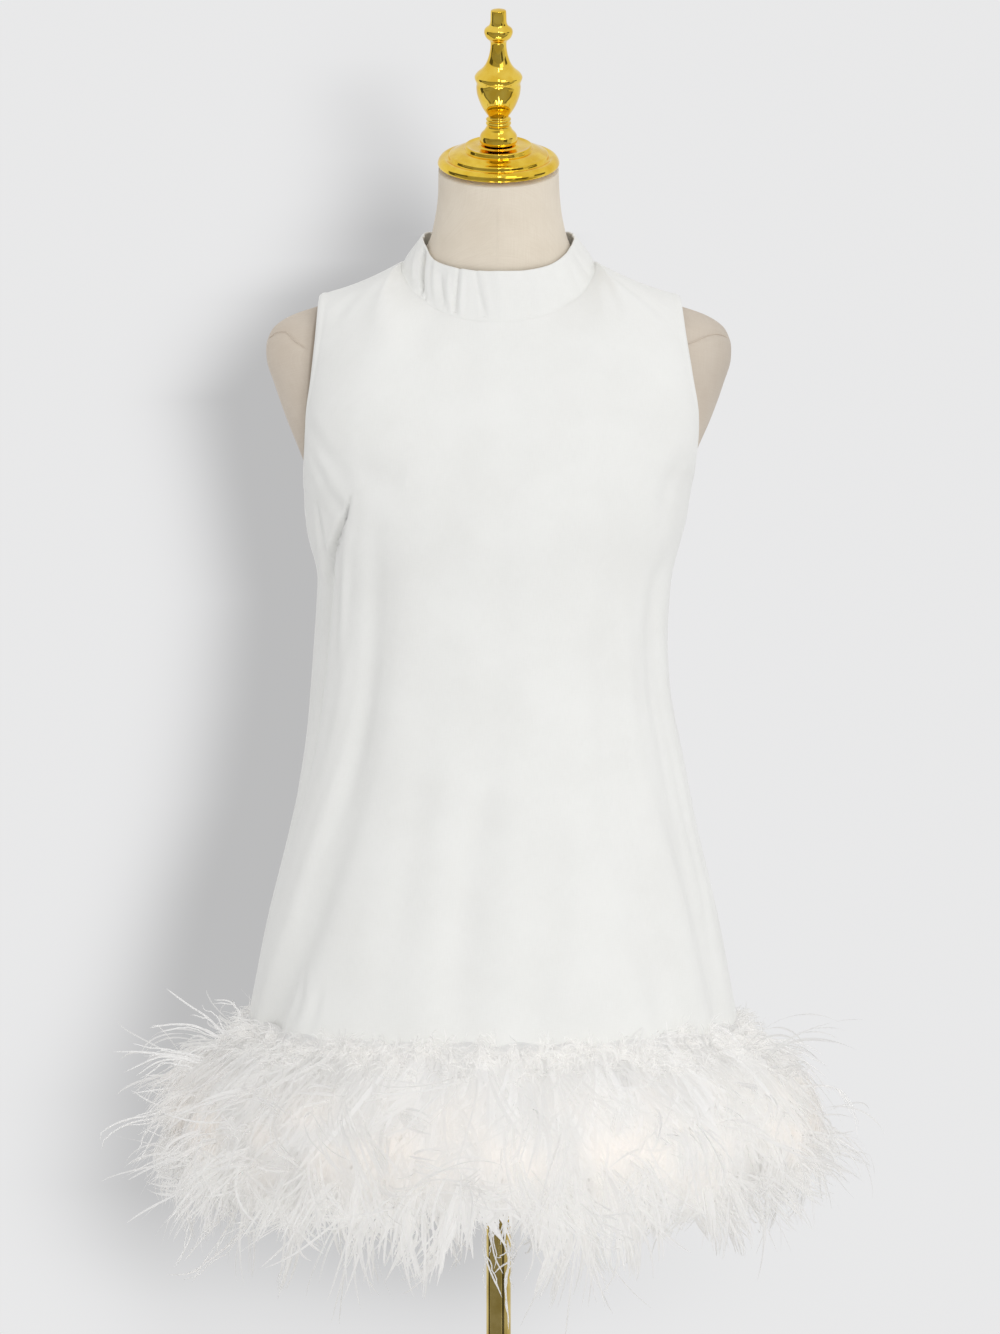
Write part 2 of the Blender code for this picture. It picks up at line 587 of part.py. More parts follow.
def main():
    for old in list(bpy.data.objects):
        bpy.data.objects.remove(old)

    crepe = material("crepe", (0.82, 0.82, 0.80), 0.62)
    crepe_back = material("crepe_back", (0.82, 0.82, 0.80), 0.62)
    crepe_back_right = material("crepe_back_right", (0.82, 0.82, 0.80), 0.62)
    collar_crepe = material("collar_crepe", (0.84, 0.84, 0.81), 0.60)
    feather = material("feather", (0.83, 0.80, 0.76), 0.80)
    linen = material("linen", (0.66, 0.58, 0.48), 0.85)
    cap_gold = material("cap_gold", (0.83, 0.58, 0.16), 0.14, 1.0)
    finial_gold = material("finial_gold", (0.83, 0.58, 0.16), 0.14, 1.0)
    pole_gold = material("pole_gold", (0.62, 0.46, 0.17), 0.25, 1.0)
    base_gold = material("base_gold", (0.66, 0.48, 0.18), 0.28, 1.0)
    slider_metal = material("slider_metal", (0.80, 0.80, 0.78), 0.35, 0.2)
    pull_metal = material("pull_metal", (0.80, 0.80, 0.78), 0.35, 0.2)

    dress_panel("dress_front", "front", -1, 1, COLUMNS, crepe)
    dress_panel("dress_back_left", "back", -1, 0, COLUMNS // 2, crepe_back)
    dress_panel("dress_back_right", "back", 0, 1, COLUMNS // 2, crepe_back_right)
    collar_band("collar_band", collar_crepe)
    feather_ring("feather_trim", feather)

    form_body("form_body", linen)
    cap = turned("neck_cap", CAP_PROFILE, 32, cap_gold)
    finial = turned("finial", FINIAL_PROFILE, 16, finial_gold)
    for piece in (cap, finial):
        piece.location = NECK_TOP
        piece.rotation_euler = (math.radians(NECK_TILT), 0, 0)
    turned("stand_base", BASE_PROFILE, 36, base_gold)
    pole = bmesh.new()
    low, high = BOSS_TOP_Z + 0.0003, FORM_BOTTOM_Z - 0.0003
    bmesh.ops.create_cone(
        pole, cap_ends=True, segments=24, radius1=POLE_RADIUS, radius2=POLE_RADIUS, depth=high - low,
        matrix=Matrix.Translation((0, 0, (low + high) / 2)),
    )
    from_bmesh("stand_pole", pole, pole_gold)

    frame = zip_frame()
    zip_slider("zip_slider", slider_metal, frame)
    zip_pull("zip_pull", pull_metal, frame)


main()
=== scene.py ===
"""Looks of a sleeveless crepe shift dress with an ostrich-feather hem, on a linen dress form with gold fittings.

Metres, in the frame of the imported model: +Z up, the front faces -Y. "Turn" is the angle round the body from centre
front, positive towards +X. Places on the front are given as pixels of the 1000 x 1334 frame where that is how they were
measured, and are carried on to the surface that they lie on; the rest is in metres.
"""

import math

import bpy
import numpy as np
from mathutils import Matrix, Vector


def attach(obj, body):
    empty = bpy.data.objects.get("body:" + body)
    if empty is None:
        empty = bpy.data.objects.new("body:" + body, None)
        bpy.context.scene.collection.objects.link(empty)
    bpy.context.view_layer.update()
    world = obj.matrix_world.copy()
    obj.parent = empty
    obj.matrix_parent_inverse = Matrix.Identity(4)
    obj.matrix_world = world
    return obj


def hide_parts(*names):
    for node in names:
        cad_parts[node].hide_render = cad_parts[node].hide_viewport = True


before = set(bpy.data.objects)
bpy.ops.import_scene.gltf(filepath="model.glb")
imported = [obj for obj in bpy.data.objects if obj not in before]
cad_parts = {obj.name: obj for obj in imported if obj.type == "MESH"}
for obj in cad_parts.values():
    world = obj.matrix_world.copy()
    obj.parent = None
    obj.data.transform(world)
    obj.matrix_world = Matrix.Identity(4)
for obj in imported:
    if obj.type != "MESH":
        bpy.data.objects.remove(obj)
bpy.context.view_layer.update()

rng = np.random.default_rng(7311)

# ---- sizes shared with the CAD model ----
HEM_Z = 0.680
ARMPIT_Z = 1.205
ARMHOLE_MID_Z, ARMHOLE_HALF_HEIGHT = 1.2842, 0.0792
ARMHOLE_REACH = {"front": 0.060, "back": 0.058}
ARMHOLE_SQUARE = 2.5
NECK_TURN = 98.0
NECK_SHARE = 0.62
NECK_TILT = 24.5
NECK_TOP = (0.0, -0.0405, 1.4653)
FORM_BOTTOM_Z = 0.760
POLE_RADIUS = 0.0103
BASE_RADIUS = 0.170
BOSS_TOP_Z = 0.046
SEAM_GAP = 0.0004
CLOTH = 0.0011  # thickness of the crepe as shown
REACH_X, REACH_Y = 0.330, 0.2735  # how far a strand may go

# z, half width left, half width right, depth to the front, depth to the back, squareness
RINGS = (
    (0.6800, 0.2215, 0.2115, 0.1640, 0.1640, 2.15),
    (0.7617, 0.2087, 0.1988, 0.1530, 0.1510, 2.15),
    (0.8464, 0.1920, 0.1826, 0.1405, 0.1350, 2.20),
    (0.9460, 0.1680, 0.1598, 0.1285, 0.1165, 2.25),
    (0.9900, 0.1585, 0.1515, 0.1235, 0.1085, 2.27),
    (1.0373, 0.1515, 0.1423, 0.1200, 0.1030, 2.30),
    (1.0788, 0.1480, 0.1399, 0.1185, 0.1000, 2.35),
    (1.1120, 0.1475, 0.1415, 0.1190, 0.1000, 2.40),
    (1.1327, 0.1485, 0.1435, 0.1205, 0.1010, 2.45),
    (1.1618, 0.1570, 0.1506, 0.1235, 0.1035, 2.50),
    (1.1850, 0.1605, 0.1570, 0.1245, 0.1050, 2.50),
    (1.2050, 0.1610, 0.1585, 0.1235, 0.1058, 2.50),
)
# name, width at its top, width at the hem, then (z, turn, depth) up the fold
FOLDS = (
    ("left_main_trough", 0.013, 0.022,
     ((0.68, -75.0, 0.013), (0.747, -71.5, 0.013), (0.845, -60.5, 0.010), (0.92, -54.5, 0.008),
      (1.05, -48.5, 0.005), (1.12, -45.0, 0.003), (1.19, -41.0, 0.0))),
    ("left_side_pocket", 0.010, 0.012,
     ((0.88, -80.0, 0.0), (0.94, -79.5, 0.005), (1.00, -78.5, 0.010), (1.05, -77.5, 0.0125),
      (1.09, -75.5, 0.0125), (1.133, -69.0, 0.009), (1.166, -58.0, 0.006), (1.20, -50.0, 0.0))),
    ("left_side_ridge", 0.012, 0.014,
     ((0.90, -100.0, 0.0), (0.98, -99.0, -0.005), (1.05, -98.0, -0.0075), (1.10, -97.0, -0.006), (1.16, -96.0, 0.0))),
    ("left_hem_trough", 0.010, 0.014,
     ((0.68, -88.0, 0.006), (0.75, -84.0, 0.005), (0.82, -78.0, 0.0))),
    ("right_trough", 0.014, 0.022,
     ((0.68, 54.5, 0.011), (0.762, 52.0, 0.010), (0.80, 50.5, 0.009), (0.865, 45.0, 0.007),
      (0.93, 40.0, 0.005), (1.00, 39.0, 0.004), (1.14, 38.5, 0.0))),
    ("right_outer_trough", 0.012, 0.018,
     ((0.68, 75.0, 0.008), (0.762, 71.5, 0.007), (0.90, 67.0, 0.005), (1.08, 63.0, 0.004), (1.15, 60.0, 0.0))),
    ("centre_trough", 0.016, 0.024,
     ((0.68, -13.5, 0.0048), (0.794, -12.0, 0.003), (0.907, -9.5, 0.002), (0.99, 0.0, 0.0))),
    ("centre_right_trough", 0.012, 0.020,
     ((0.68, 12.5, 0.0032), (0.77, 11.5, 0.0022), (0.86, 9.0, 0.0))),
    ("back_left_trough", 0.014, 0.024,
     ((0.68, -134.0, 0.013), (0.75, -133.0, 0.011), (0.90, -130.0, 0.006), (1.04, -127.0, 0.0))),
    ("back_inner_left_trough", 0.014, 0.020,
     ((0.68, -158.0, 0.008), (0.80, -160.0, 0.006), (0.96, -163.0, 0.0))),
    ("back_right_trough", 0.014, 0.024,
     ((0.68, 137.0, 0.012), (0.80, 134.0, 0.010), (0.92, 129.0, 0.006), (1.07, 125.0, 0.0))),
    ("back_inner_right_trough", 0.012, 0.018,
     ((0.68, 156.0, 0.007), (0.78, 157.0, 0.004), (0.88, 158.0, 0.0))),
)
ARMHOLE_EDGE = (
    (1.2050, 0.1610, 0.1585),
    (1.2250, 0.1580, 0.1605),
    (1.2450, 0.1565, 0.1625),
    (1.2620, 0.1560, 0.1625),
    (1.2950, 0.1520, 0.1575),
    (1.3280, 0.1485, 0.1525),
    (1.3634, 0.1470, 0.1485),
)
CENTRE_LINE = {
    "front": ((0.0, 1.2050, -0.1235), (0.33, 1.2520, -0.1140), (0.67, 1.2965, -0.1015), (1.0, 1.3397, -0.0865)),
    "back": ((0.0, 1.2050, 0.1058), (0.30, 1.2600, 0.1050), (0.60, 1.3150, 0.0965), (0.82, 1.3560, 0.0820),
             (1.0, 1.3860, 0.0660)),
}
COLLAR_EDGES = {
    "lower": dict(half=0.0790, mid_y=-0.01025, depth=0.07625, z=1.37493, lean=0.02715, rise=0.01207, flat=-0.0040, square=0.0),
    "upper": dict(half=0.0625, mid_y=-0.01475, depth=0.06175, z=1.40108, lean=0.02196, rise=0.00655, flat=-0.00132, square=-0.00138),
}
FORM = (
    (0.7600, 0.0, 0.0, 0.1480, 0.0840, 0.1030, 2.10),
    (0.7680, 0.0, 0.0, 0.1570, 0.0920, 0.1110, 2.10),
    (0.7850, 0.0, 0.0, 0.1630, 0.0980, 0.1170, 2.10),
    (0.8200, 0.0, 0.0, 0.1660, 0.1010, 0.1210, 2.10),
    (0.8700, 0.0, 0.0, 0.1610, 0.0980, 0.1160, 2.10),
    (0.9200, 0.0, 0.0, 0.1460, 0.0920, 0.1020, 2.10),
    (0.9650, 0.0, 0.0, 0.1280, 0.0850, 0.0880, 2.10),
    (1.0100, 0.0, 0.0, 0.1165, 0.0820, 0.0780, 2.10),
    (1.0500, 0.0, 0.0, 0.1180, 0.0870, 0.0790, 2.10),
    (1.0900, 0.0, 0.0, 0.1260, 0.0980, 0.0850, 2.15),
    (1.1300, 0.0, 0.0, 0.1370, 0.1090, 0.0910, 2.25),
    (1.1700, 0.0, 0.0, 0.1470, 0.1150, 0.0950, 2.35),
    (1.2050, 0.0, 0.0, 0.1525, 0.1125, 0.0960, 2.30),
    (1.2350, 0.0, 0.0, 0.1640, 0.1050, 0.0955, 2.20),
    (1.2620, 0.0, 0.0, 0.1755, 0.0970, 0.0940, 2.10),
    (1.2900, 0.0, 0.0, 0.1855, 0.0905, 0.0900, 2.00),
    (1.3120, 0.0, 0.0, 0.1920, 0.0870, 0.0860, 1.90),
    (1.3280, 0.0, 0.0, 0.1905, 0.0840, 0.0830, 1.75),
    (1.3395, 0.0, 0.0, 0.1835, 0.0775, 0.0800, 1.60),
    (1.3480, 0.0, 0.0, 0.1690, 0.0715, 0.0770, 1.50),
    (1.3565, -0.0010, 2.0, 0.1430, 0.0665, 0.0740, 1.45),
    (1.3660, -0.0030, 5.0, 0.1130, 0.0645, 0.0690, 1.45),
    (1.3755, -0.0060, 9.0, 0.0870, 0.0635, 0.0645, 1.55),
    (1.3860, -0.0100, 13.0, 0.0700, 0.0615, 0.0590, 1.70),
    (1.3966, -0.0154, 17.0, 0.0620, 0.0585, 0.0555, 1.90),
    (1.4079, -0.0196, 19.0, 0.0560, 0.0550, 0.0535, 2.00),
    (1.4200, -0.0241, 20.0, 0.0530, 0.0525, 0.0515, 2.00),
    (1.4388, -0.0311, 22.0, 0.0497, 0.0497, 0.0497, 2.00),
    (1.4653, -0.0405, 24.5, 0.0485, 0.0485, 0.0485, 2.00),
)
CAP_TURNED = (  # the neck plate with its turned steps
    (0.0, 0.0180), (0.0150, 0.0180), (0.0160, 0.0172), (0.0170, 0.0167), (0.0200, 0.0165), (0.0235, 0.0165),
    (0.0252, 0.0171), (0.0265, 0.0174), (0.0274, 0.0168), (0.0276, 0.0150), (0.0279, 0.0139), (0.0290, 0.0138),
    (0.0320, 0.0134), (0.0350, 0.0123), (0.0375, 0.0110), (0.0392, 0.0105), (0.0402, 0.0098), (0.0406, 0.0082),
    (0.0411, 0.0070), (0.0424, 0.0070), (0.0444, 0.0077), (0.0468, 0.0071), (0.0486, 0.0052), (0.0496, 0.0026),
    (0.0492, 0.0010), (0.0478, 0.0006), (0.0, 0.0006),
)
FINIAL_PROFILE = (
    (0.0, 0.1287), (0.0054, 0.1278), (0.0063, 0.1269), (0.0065, 0.1158), (0.0110, 0.1129), (0.0117, 0.1096),
    (0.0101, 0.1055), (0.0064, 0.1027), (0.0064, 0.0975), (0.0076, 0.0907), (0.0101, 0.0841), (0.0132, 0.0800),
    (0.0175, 0.0767), (0.0197, 0.0733), (0.0175, 0.0683), (0.0180, 0.0652), (0.0175, 0.0598), (0.0158, 0.0545),
    (0.0135, 0.0491), (0.0101, 0.0438), (0.0078, 0.0408), (0.0104, 0.0391), (0.0094, 0.0370), (0.0104, 0.0357),
    (0.0094, 0.0333), (0.0104, 0.0316), (0.0114, 0.0296), (0.0147, 0.0263), (0.0154, 0.0223), (0.0150, 0.0186),
    (0.0, 0.0186),
)
BASE_PROFILE = (
    (0.0, BOSS_TOP_Z), (0.0185, BOSS_TOP_Z), (0.0200, 0.0440), (0.0215, 0.0340), (0.0260, 0.0270), (0.0360, 0.0225),
    (0.0800, 0.0180), (0.1300, 0.0130), (0.1640, 0.0090), (0.1690, 0.0065), (BASE_RADIUS, 0.0040),
    (BASE_RADIUS - 0.0010, 0.0), (0.0, 0.0),
)

# ---- the camera, and what a pixel of the frame looks at ----
CAMERA_AT = np.array((0.0012, -2.6, 1.15))
CAMERA_TO = np.array((0.0012, 0.0, 1.056))
FRAME_WIDTH = 0.83  # width of the frame at the target, metres
FRAME_PX = (1000, 1334)
_forward = (CAMERA_TO - CAMERA_AT) / np.linalg.norm(CAMERA_TO - CAMERA_AT)
_right = np.array((1.0, 0.0, 0.0))
_up = np.cross(_right, _forward)
_per_px = FRAME_WIDTH / np.linalg.norm(CAMERA_TO - CAMERA_AT) / FRAME_PX[0]


def at_depth(px, py, y):
    """The point that a pixel looks at, on the plane of that y."""
    ray = _forward + (px - FRAME_PX[0] / 2) * _per_px * _right + (FRAME_PX[1] / 2 - py) * _per_px * _up
    return CAMERA_AT + ray * ((y - CAMERA_AT[1]) / ray[1])


def to_pixel(points):
    """The pixels of points."""
    away = points - CAMERA_AT
    depth = away @ _forward
    return np.stack(
        [FRAME_PX[0] / 2 + away @ _right / depth / _per_px, FRAME_PX[1] / 2 - away @ _up / depth / _per_px], -1
    )


# ================================ shared geometry functions ================================
def smooth(rows, at):
    """Every column of a table at one value of its first column, on a smooth curve through the rows."""
    table = np.array(rows, float)
    key, value = table[:, 0], table[:, 1:]
    slope = np.gradient(value, key, axis=0)
    at = np.clip(np.asarray(at, float), key[0], key[-1])
    i = np.clip(np.searchsorted(key, at, side="right") - 1, 0, len(key) - 2)
    span = (key[i + 1] - key[i])[..., None]
    t = (at - key[i])[..., None] / span
    return (
        (1 + 2 * t) * (1 - t) ** 2 * value[i]
        + t * (1 - t) ** 2 * span * slope[i]
        + t * t * (3 - 2 * t) * value[i + 1]
        + t * t * (t - 1) * span * slope[i + 1]
    )


def section(turn, left, right, front, back, square):
    s, c = np.sin(turn), np.cos(turn)
    a = np.where(s < 0, left, right)
    b = np.where(c > 0, front, back)
    r = (np.abs(s / a) ** square + np.abs(c / b) ** square) ** (-1 / square)
    x, y = r * s, -r * c
    nx = np.sign(x) * np.abs(x / a) ** (square - 1) / a
    ny = np.sign(y) * np.abs(y / b) ** (square - 1) / b
    size = np.hypot(nx, ny)
    return x, y, nx / size, ny / size


def fold_depth(turn, z, radius):
    total = np.zeros(np.broadcast(turn, z).shape)
    for _, width_top, width_hem, path in FOLDS:
        low, high = path[0][0], path[-1][0]
        middle, depth = np.moveaxis(smooth(path, z), -1, 0)
        width = width_hem + (width_top - width_hem) * np.clip((z - HEM_Z) / (high - HEM_Z), 0, 1)
        away = (turn - np.radians(middle) + math.pi) % (2 * math.pi) - math.pi
        inside = (z <= high) & (z >= min(low, HEM_Z) if low <= HEM_Z else (z >= low))
        total += np.where(inside, depth * np.exp(-((away * radius / width) ** 2)), 0)
    return total


def body_point(turn, z, out=0.0, folds=1.0):
    turn, z = np.broadcast_arrays(np.asarray(turn, float), np.asarray(z, float))
    left, right, front, back, square = np.moveaxis(smooth(RINGS, z), -1, 0)
    x, y, nx, ny = section(turn, left, right, front, back, square)
    push = out - folds * fold_depth(turn, z, np.hypot(x, y))
    return np.stack([x + nx * push, y + ny * push, z], -1)


def collar_edge(name, turn):
    e = COLLAR_EDGES[name]
    return np.stack(
        [
            e["half"] * np.sin(turn),
            e["mid_y"] - e["depth"] * np.cos(turn),
            e["z"]
            - e["lean"] * np.cos(turn)
            - e["rise"] * np.cos(2 * turn)
            - e["flat"] * np.cos(3 * turn)
            - e["square"] * np.cos(4 * turn),
        ],
        -1,
    )


def panel_top(panel, u):
    side, share = np.sign(u), np.abs(u)
    neck_turn = np.clip(share / NECK_SHARE, 0, 1) * math.radians(NECK_TURN if panel == "front" else 180 - NECK_TURN)
    turn = neck_turn if panel == "front" else math.pi - neck_turn
    neck = collar_edge("lower", turn)
    along = np.clip((share - NECK_SHARE) / (1 - NECK_SHARE), 0, 1)
    end = np.where(side < 0, ARMHOLE_EDGE[-1][1], ARMHOLE_EDGE[-1][2])
    x = neck[..., 0] + (end - neck[..., 0]) * along
    y = neck[..., 1] * (1 - along)
    z = neck[..., 2] + (ARMHOLE_EDGE[-1][0] - neck[..., 2]) * along - 0.003 * np.sin(math.pi * along)
    return np.stack([x * np.where(side < 0, -1, 1), y, z], -1)


def yoke_point(panel, u, t):
    u, t = np.broadcast_arrays(np.asarray(u, float), np.asarray(t, float))
    facing = -1 if panel == "front" else 1
    turn = u * math.pi / 2 if panel == "front" else math.pi - u * math.pi / 2
    climb = np.sin(math.pi * t - math.pi / 2)
    arm_z = ARMHOLE_MID_Z + ARMHOLE_HALF_HEIGHT * climb
    square = ARMHOLE_SQUARE
    arm_y = facing * ARMHOLE_REACH[panel] * np.clip(1 - np.abs(climb) ** square, 0, 1) ** (1 / square)
    left, right = np.moveaxis(smooth(ARMHOLE_EDGE, arm_z), -1, 0)
    arm_x = np.where(u < 0, left, right)
    mid_z, mid_y = np.moveaxis(smooth(CENTRE_LINE[panel], t), -1, 0)
    foot = body_point(turn, ARMPIT_Z)
    foot_x = np.abs(foot[..., 0]) / np.where(u < 0, RINGS[-1][1], RINGS[-1][2])
    foot_y = foot[..., 1] / CENTRE_LINE[panel][0][2]
    top = panel_top(panel, u)
    top_end = panel_top(panel, np.where(u < 0, -1.0, 1.0))
    top_mid = panel_top(panel, np.zeros_like(u))
    top_x = np.abs(top[..., 0] / top_end[..., 0])
    top_y = top[..., 1] / top_mid[..., 1]
    across, along, lift = t**2, t**3, t**2 * (3 - 2 * t)
    fall = 1 - u**2
    x = np.sign(u) * arm_x * ((1 - across) * foot_x + across * top_x)
    y = arm_y + (mid_y - arm_y) * ((1 - along) * foot_y + along * top_y)
    straight = top_end[..., 2] + (top_mid[..., 2] - top_end[..., 2]) * fall
    z = arm_z + (mid_z - arm_z) * fall + lift * (top[..., 2] - straight)
    return np.stack([x, y, z], -1)


def grid_normals(grid, outward_from):
    down = np.gradient(grid, axis=0)
    over = np.gradient(grid, axis=1)
    normal = np.cross(over, down)
    normal /= np.maximum(np.linalg.norm(normal, axis=-1, keepdims=True), 1e-12)
    away = ((grid - outward_from) * normal).sum(-1)
    return normal * (1 if np.median(away) > 0 else -1)


def unit(v):
    return v / np.maximum(np.linalg.norm(v, axis=-1, keepdims=True), 1e-12)


# ================================ meshes ================================
def raw_mesh(name, points, quads=None, tris=None):
    """A mesh from arrays of points and faces."""
    quads = np.zeros((0, 4), np.int32) if quads is None else np.asarray(quads, np.int32)
    tris = np.zeros((0, 3), np.int32) if tris is None else np.asarray(tris, np.int32)
    points = np.asarray(points, np.float32).reshape(-1, 3)
    mesh = bpy.data.meshes.new(name)
    mesh.vertices.add(len(points))
    mesh.vertices.foreach_set("co", points.ravel())
    loops = np.concatenate([quads.ravel(), tris.ravel()]).astype(np.int32)
    sizes = np.concatenate([np.full(len(quads), 4), np.full(len(tris), 3)]).astype(np.int32)
    mesh.loops.add(len(loops))
    mesh.loops.foreach_set("vertex_index", loops)
    mesh.polygons.add(len(sizes))
    mesh.polygons.foreach_set("loop_start", np.concatenate([[0], np.cumsum(sizes)[:-1]]).astype(np.int32))
    mesh.polygons.foreach_set("use_smooth", np.ones(len(sizes), bool))
    mesh.update(calc_edges=True)
    mesh.validate()
    return mesh


def add(name, mesh, material, body="figure", replaces=()):
    mesh.materials.append(material)
    made = bpy.data.objects.new(name, mesh)
    bpy.context.scene.collection.objects.link(made)
    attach(made, body)
    if replaces:
        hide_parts(*replaces)
    return made


def set_uv(mesh, per_point, name="cloth"):
    layer = mesh.uv_layers.new(name=name)
    index = np.zeros(len(mesh.loops), np.int32)
    mesh.loops.foreach_get("vertex_index", index)
    layer.data.foreach_set("uv", np.asarray(per_point, np.float32)[index].ravel())


def set_tone(mesh, per_point, name="tone"):
    """A colour for each point: red is lightness, green is tint, blue is how far along."""
    layer = mesh.color_attributes.new(name, "FLOAT_COLOR", "POINT")
    rgba = np.ones((len(per_point), 4), np.float32)
    rgba[:, :3] = per_point
    layer.data.foreach_set("color", rgba.ravel())


def quad_strip(rows, columns, start=0):
    i, j = np.meshgrid(np.arange(rows - 1), np.arange(columns - 1), indexing="ij")
    a = start + i * columns + j
    return np.stack([a, a + 1, a + columns + 1, a + columns], -1).reshape(-1, 4)


def outward(points, quads, middle):
    """The quads, turned over if they face the middle."""
    a, b, c = points[quads[:, 0]], points[quads[:, 1]], points[quads[:, 2]]
    facing = (np.cross(b - a, c - a) * (a - middle)).sum(-1)
    return quads if facing.sum() > 0 else quads[:, ::-1]


def thin_shell(outer, inner):
    """Points and quads of a closed thin wall between two grids."""
    rows, columns = outer.shape[:2]
    count = rows * columns
    points = np.concatenate([outer.reshape(-1, 3), inner.reshape(-1, 3)])
    face = quad_strip(rows, columns)
    back = face[:, ::-1] + count
    r, c = np.arange(rows - 1) * columns, np.arange(columns - 1)
    last_c, last_r = columns - 1, (rows - 1) * columns
    sides = np.concatenate(
        [
            np.stack([r + count, r, r + columns, r + columns + count], -1)[:, ::-1],
            np.stack([r + last_c, r + last_c + count, r + last_c + columns + count, r + last_c + columns], -1)[:, ::-1],
            np.stack([c + 1 + count, c + count, c, c + 1], -1)[:, ::-1],
            np.stack([c + last_r, c + last_r + count, c + 1 + last_r + count, c + 1 + last_r], -1)[:, ::-1],
        ]
    )
    quads = np.concatenate([face, back, sides])
    a, b, c3 = points[quads[:, 0]], points[quads[:, 1]], points[quads[:, 2]]
    d = points[quads[:, 3]]
    volume = ((a * np.cross(b, c3)).sum() + (a * np.cross(c3, d)).sum()) / 6
    return points, (quads if volume > 0 else quads[:, ::-1])


def spun(profile, around, tilt=0.0, place=(0, 0, 0)):
    """A profile turned round Z, closed on the axis, then tilted about X and placed."""
    profile = np.array(profile, float)
    profile[0, 0] = profile[-1, 0] = 0
    turn = np.linspace(0, 2 * math.pi, around + 1)[:-1]
    rings = profile[1:-1]
    ring = np.stack(
        [rings[:, None, 0] * np.cos(turn), rings[:, None, 0] * np.sin(turn), np.repeat(rings[:, None, 1], around, 1)], -1
    )
    points = np.concatenate([ring.reshape(-1, 3), [[0, 0, profile[0, 1]], [0, 0, profile[-1, 1]]]])
    i, j = np.meshgrid(np.arange(len(rings) - 1), np.arange(around), indexing="ij")
    k = (j + 1) % around
    quads = np.stack([i * around + j, (i + 1) * around + j, (i + 1) * around + k, i * around + k], -1).reshape(-1, 4)
    j = np.arange(around)
    k = (j + 1) % around
    base = (len(rings) - 1) * around
    top, bottom = len(rings) * around, len(rings) * around + 1
    tris = np.concatenate(
        [np.stack([np.full(around, top), j, k], -1), np.stack([np.full(around, bottom), base + k, base + j], -1)]
    )
    lengths = np.concatenate([[0], np.cumsum(np.linalg.norm(np.diff(rings, axis=0), axis=1))])
    uv = np.stack(
        [np.tile(turn / (2 * math.pi), len(rings)), np.repeat(lengths, around)], -1
    )
    uv = np.concatenate([uv, [[0, 0], [0, lengths[-1]]]])
    lean = math.radians(tilt)
    spin = np.array([[1, 0, 0], [0, math.cos(lean), -math.sin(lean)], [0, math.sin(lean), math.cos(lean)]])
    return points @ spin.T + np.array(place), quads, tris, uv


def rounded(profile, rounds=2, keep=0.22):
    """A profile with its corners cut round, ends kept."""
    p = np.array(profile, float)
    for _ in range(rounds):
        a, b = p[:-1], p[1:]
        cut = np.stack([a + (b - a) * keep, b + (a - b) * keep], 1).reshape(-1, 2)
        p = np.concatenate([p[:1], cut[1:-1], p[-1:]])
    return p


def fine_line(points, step):
    """A smooth curve through points, with points about step apart."""
    p = np.array(points, float)
    if len(p) > 2:
        t = np.concatenate([[0], np.cumsum(np.linalg.norm(np.diff(p, axis=0), axis=1))])
        rows = np.concatenate([t[:, None], p], 1)
        at = np.linspace(0, t[-1], max(3, int(math.ceil(t[-1] / step)) + 1))
        return smooth(rows, at)
    n = max(2, int(math.ceil(np.linalg.norm(p[1] - p[0]) / step)) + 1)
    return p[0] + (p[1] - p[0]) * np.linspace(0, 1, n)[:, None]


def near_line(points, line):
    """For each point: distance to a line of points, share of the way along it, and the offset from it."""
    flat = points.reshape(-1, 3)
    best = np.full(len(flat), np.inf)
    share = np.zeros(len(flat))
    offset = np.zeros_like(flat)
    ahead = np.zeros_like(flat)
    lengths = np.linalg.norm(np.diff(line, axis=0), axis=1)
    total, run = lengths.sum(), 0.0
    low, high = line.min(0) - 0.08, line.max(0) + 0.08
    use = np.nonzero(((flat > low) & (flat < high)).all(1))[0]
    some = flat[use]
    for k in range(len(line) - 1):
        a, d = line[k], line[k + 1] - line[k]
        t = np.clip(((some - a) @ d) / max(d @ d, 1e-12), 0, 1)
        off = some - (a + t[:, None] * d)
        dist = np.linalg.norm(off, axis=1)
        closer = dist < best[use]
        hit = use[closer]
        best[hit] = dist[closer]
        share[hit] = (run + t[closer] * lengths[k]) / total
        offset[hit] = off[closer]
        ahead[hit] = d / max(lengths[k], 1e-12)
        run += lengths[k]
    shape = points.shape[:-1]
    return best.reshape(shape), share.reshape(shape), offset.reshape(points.shape), ahead.reshape(points.shape)


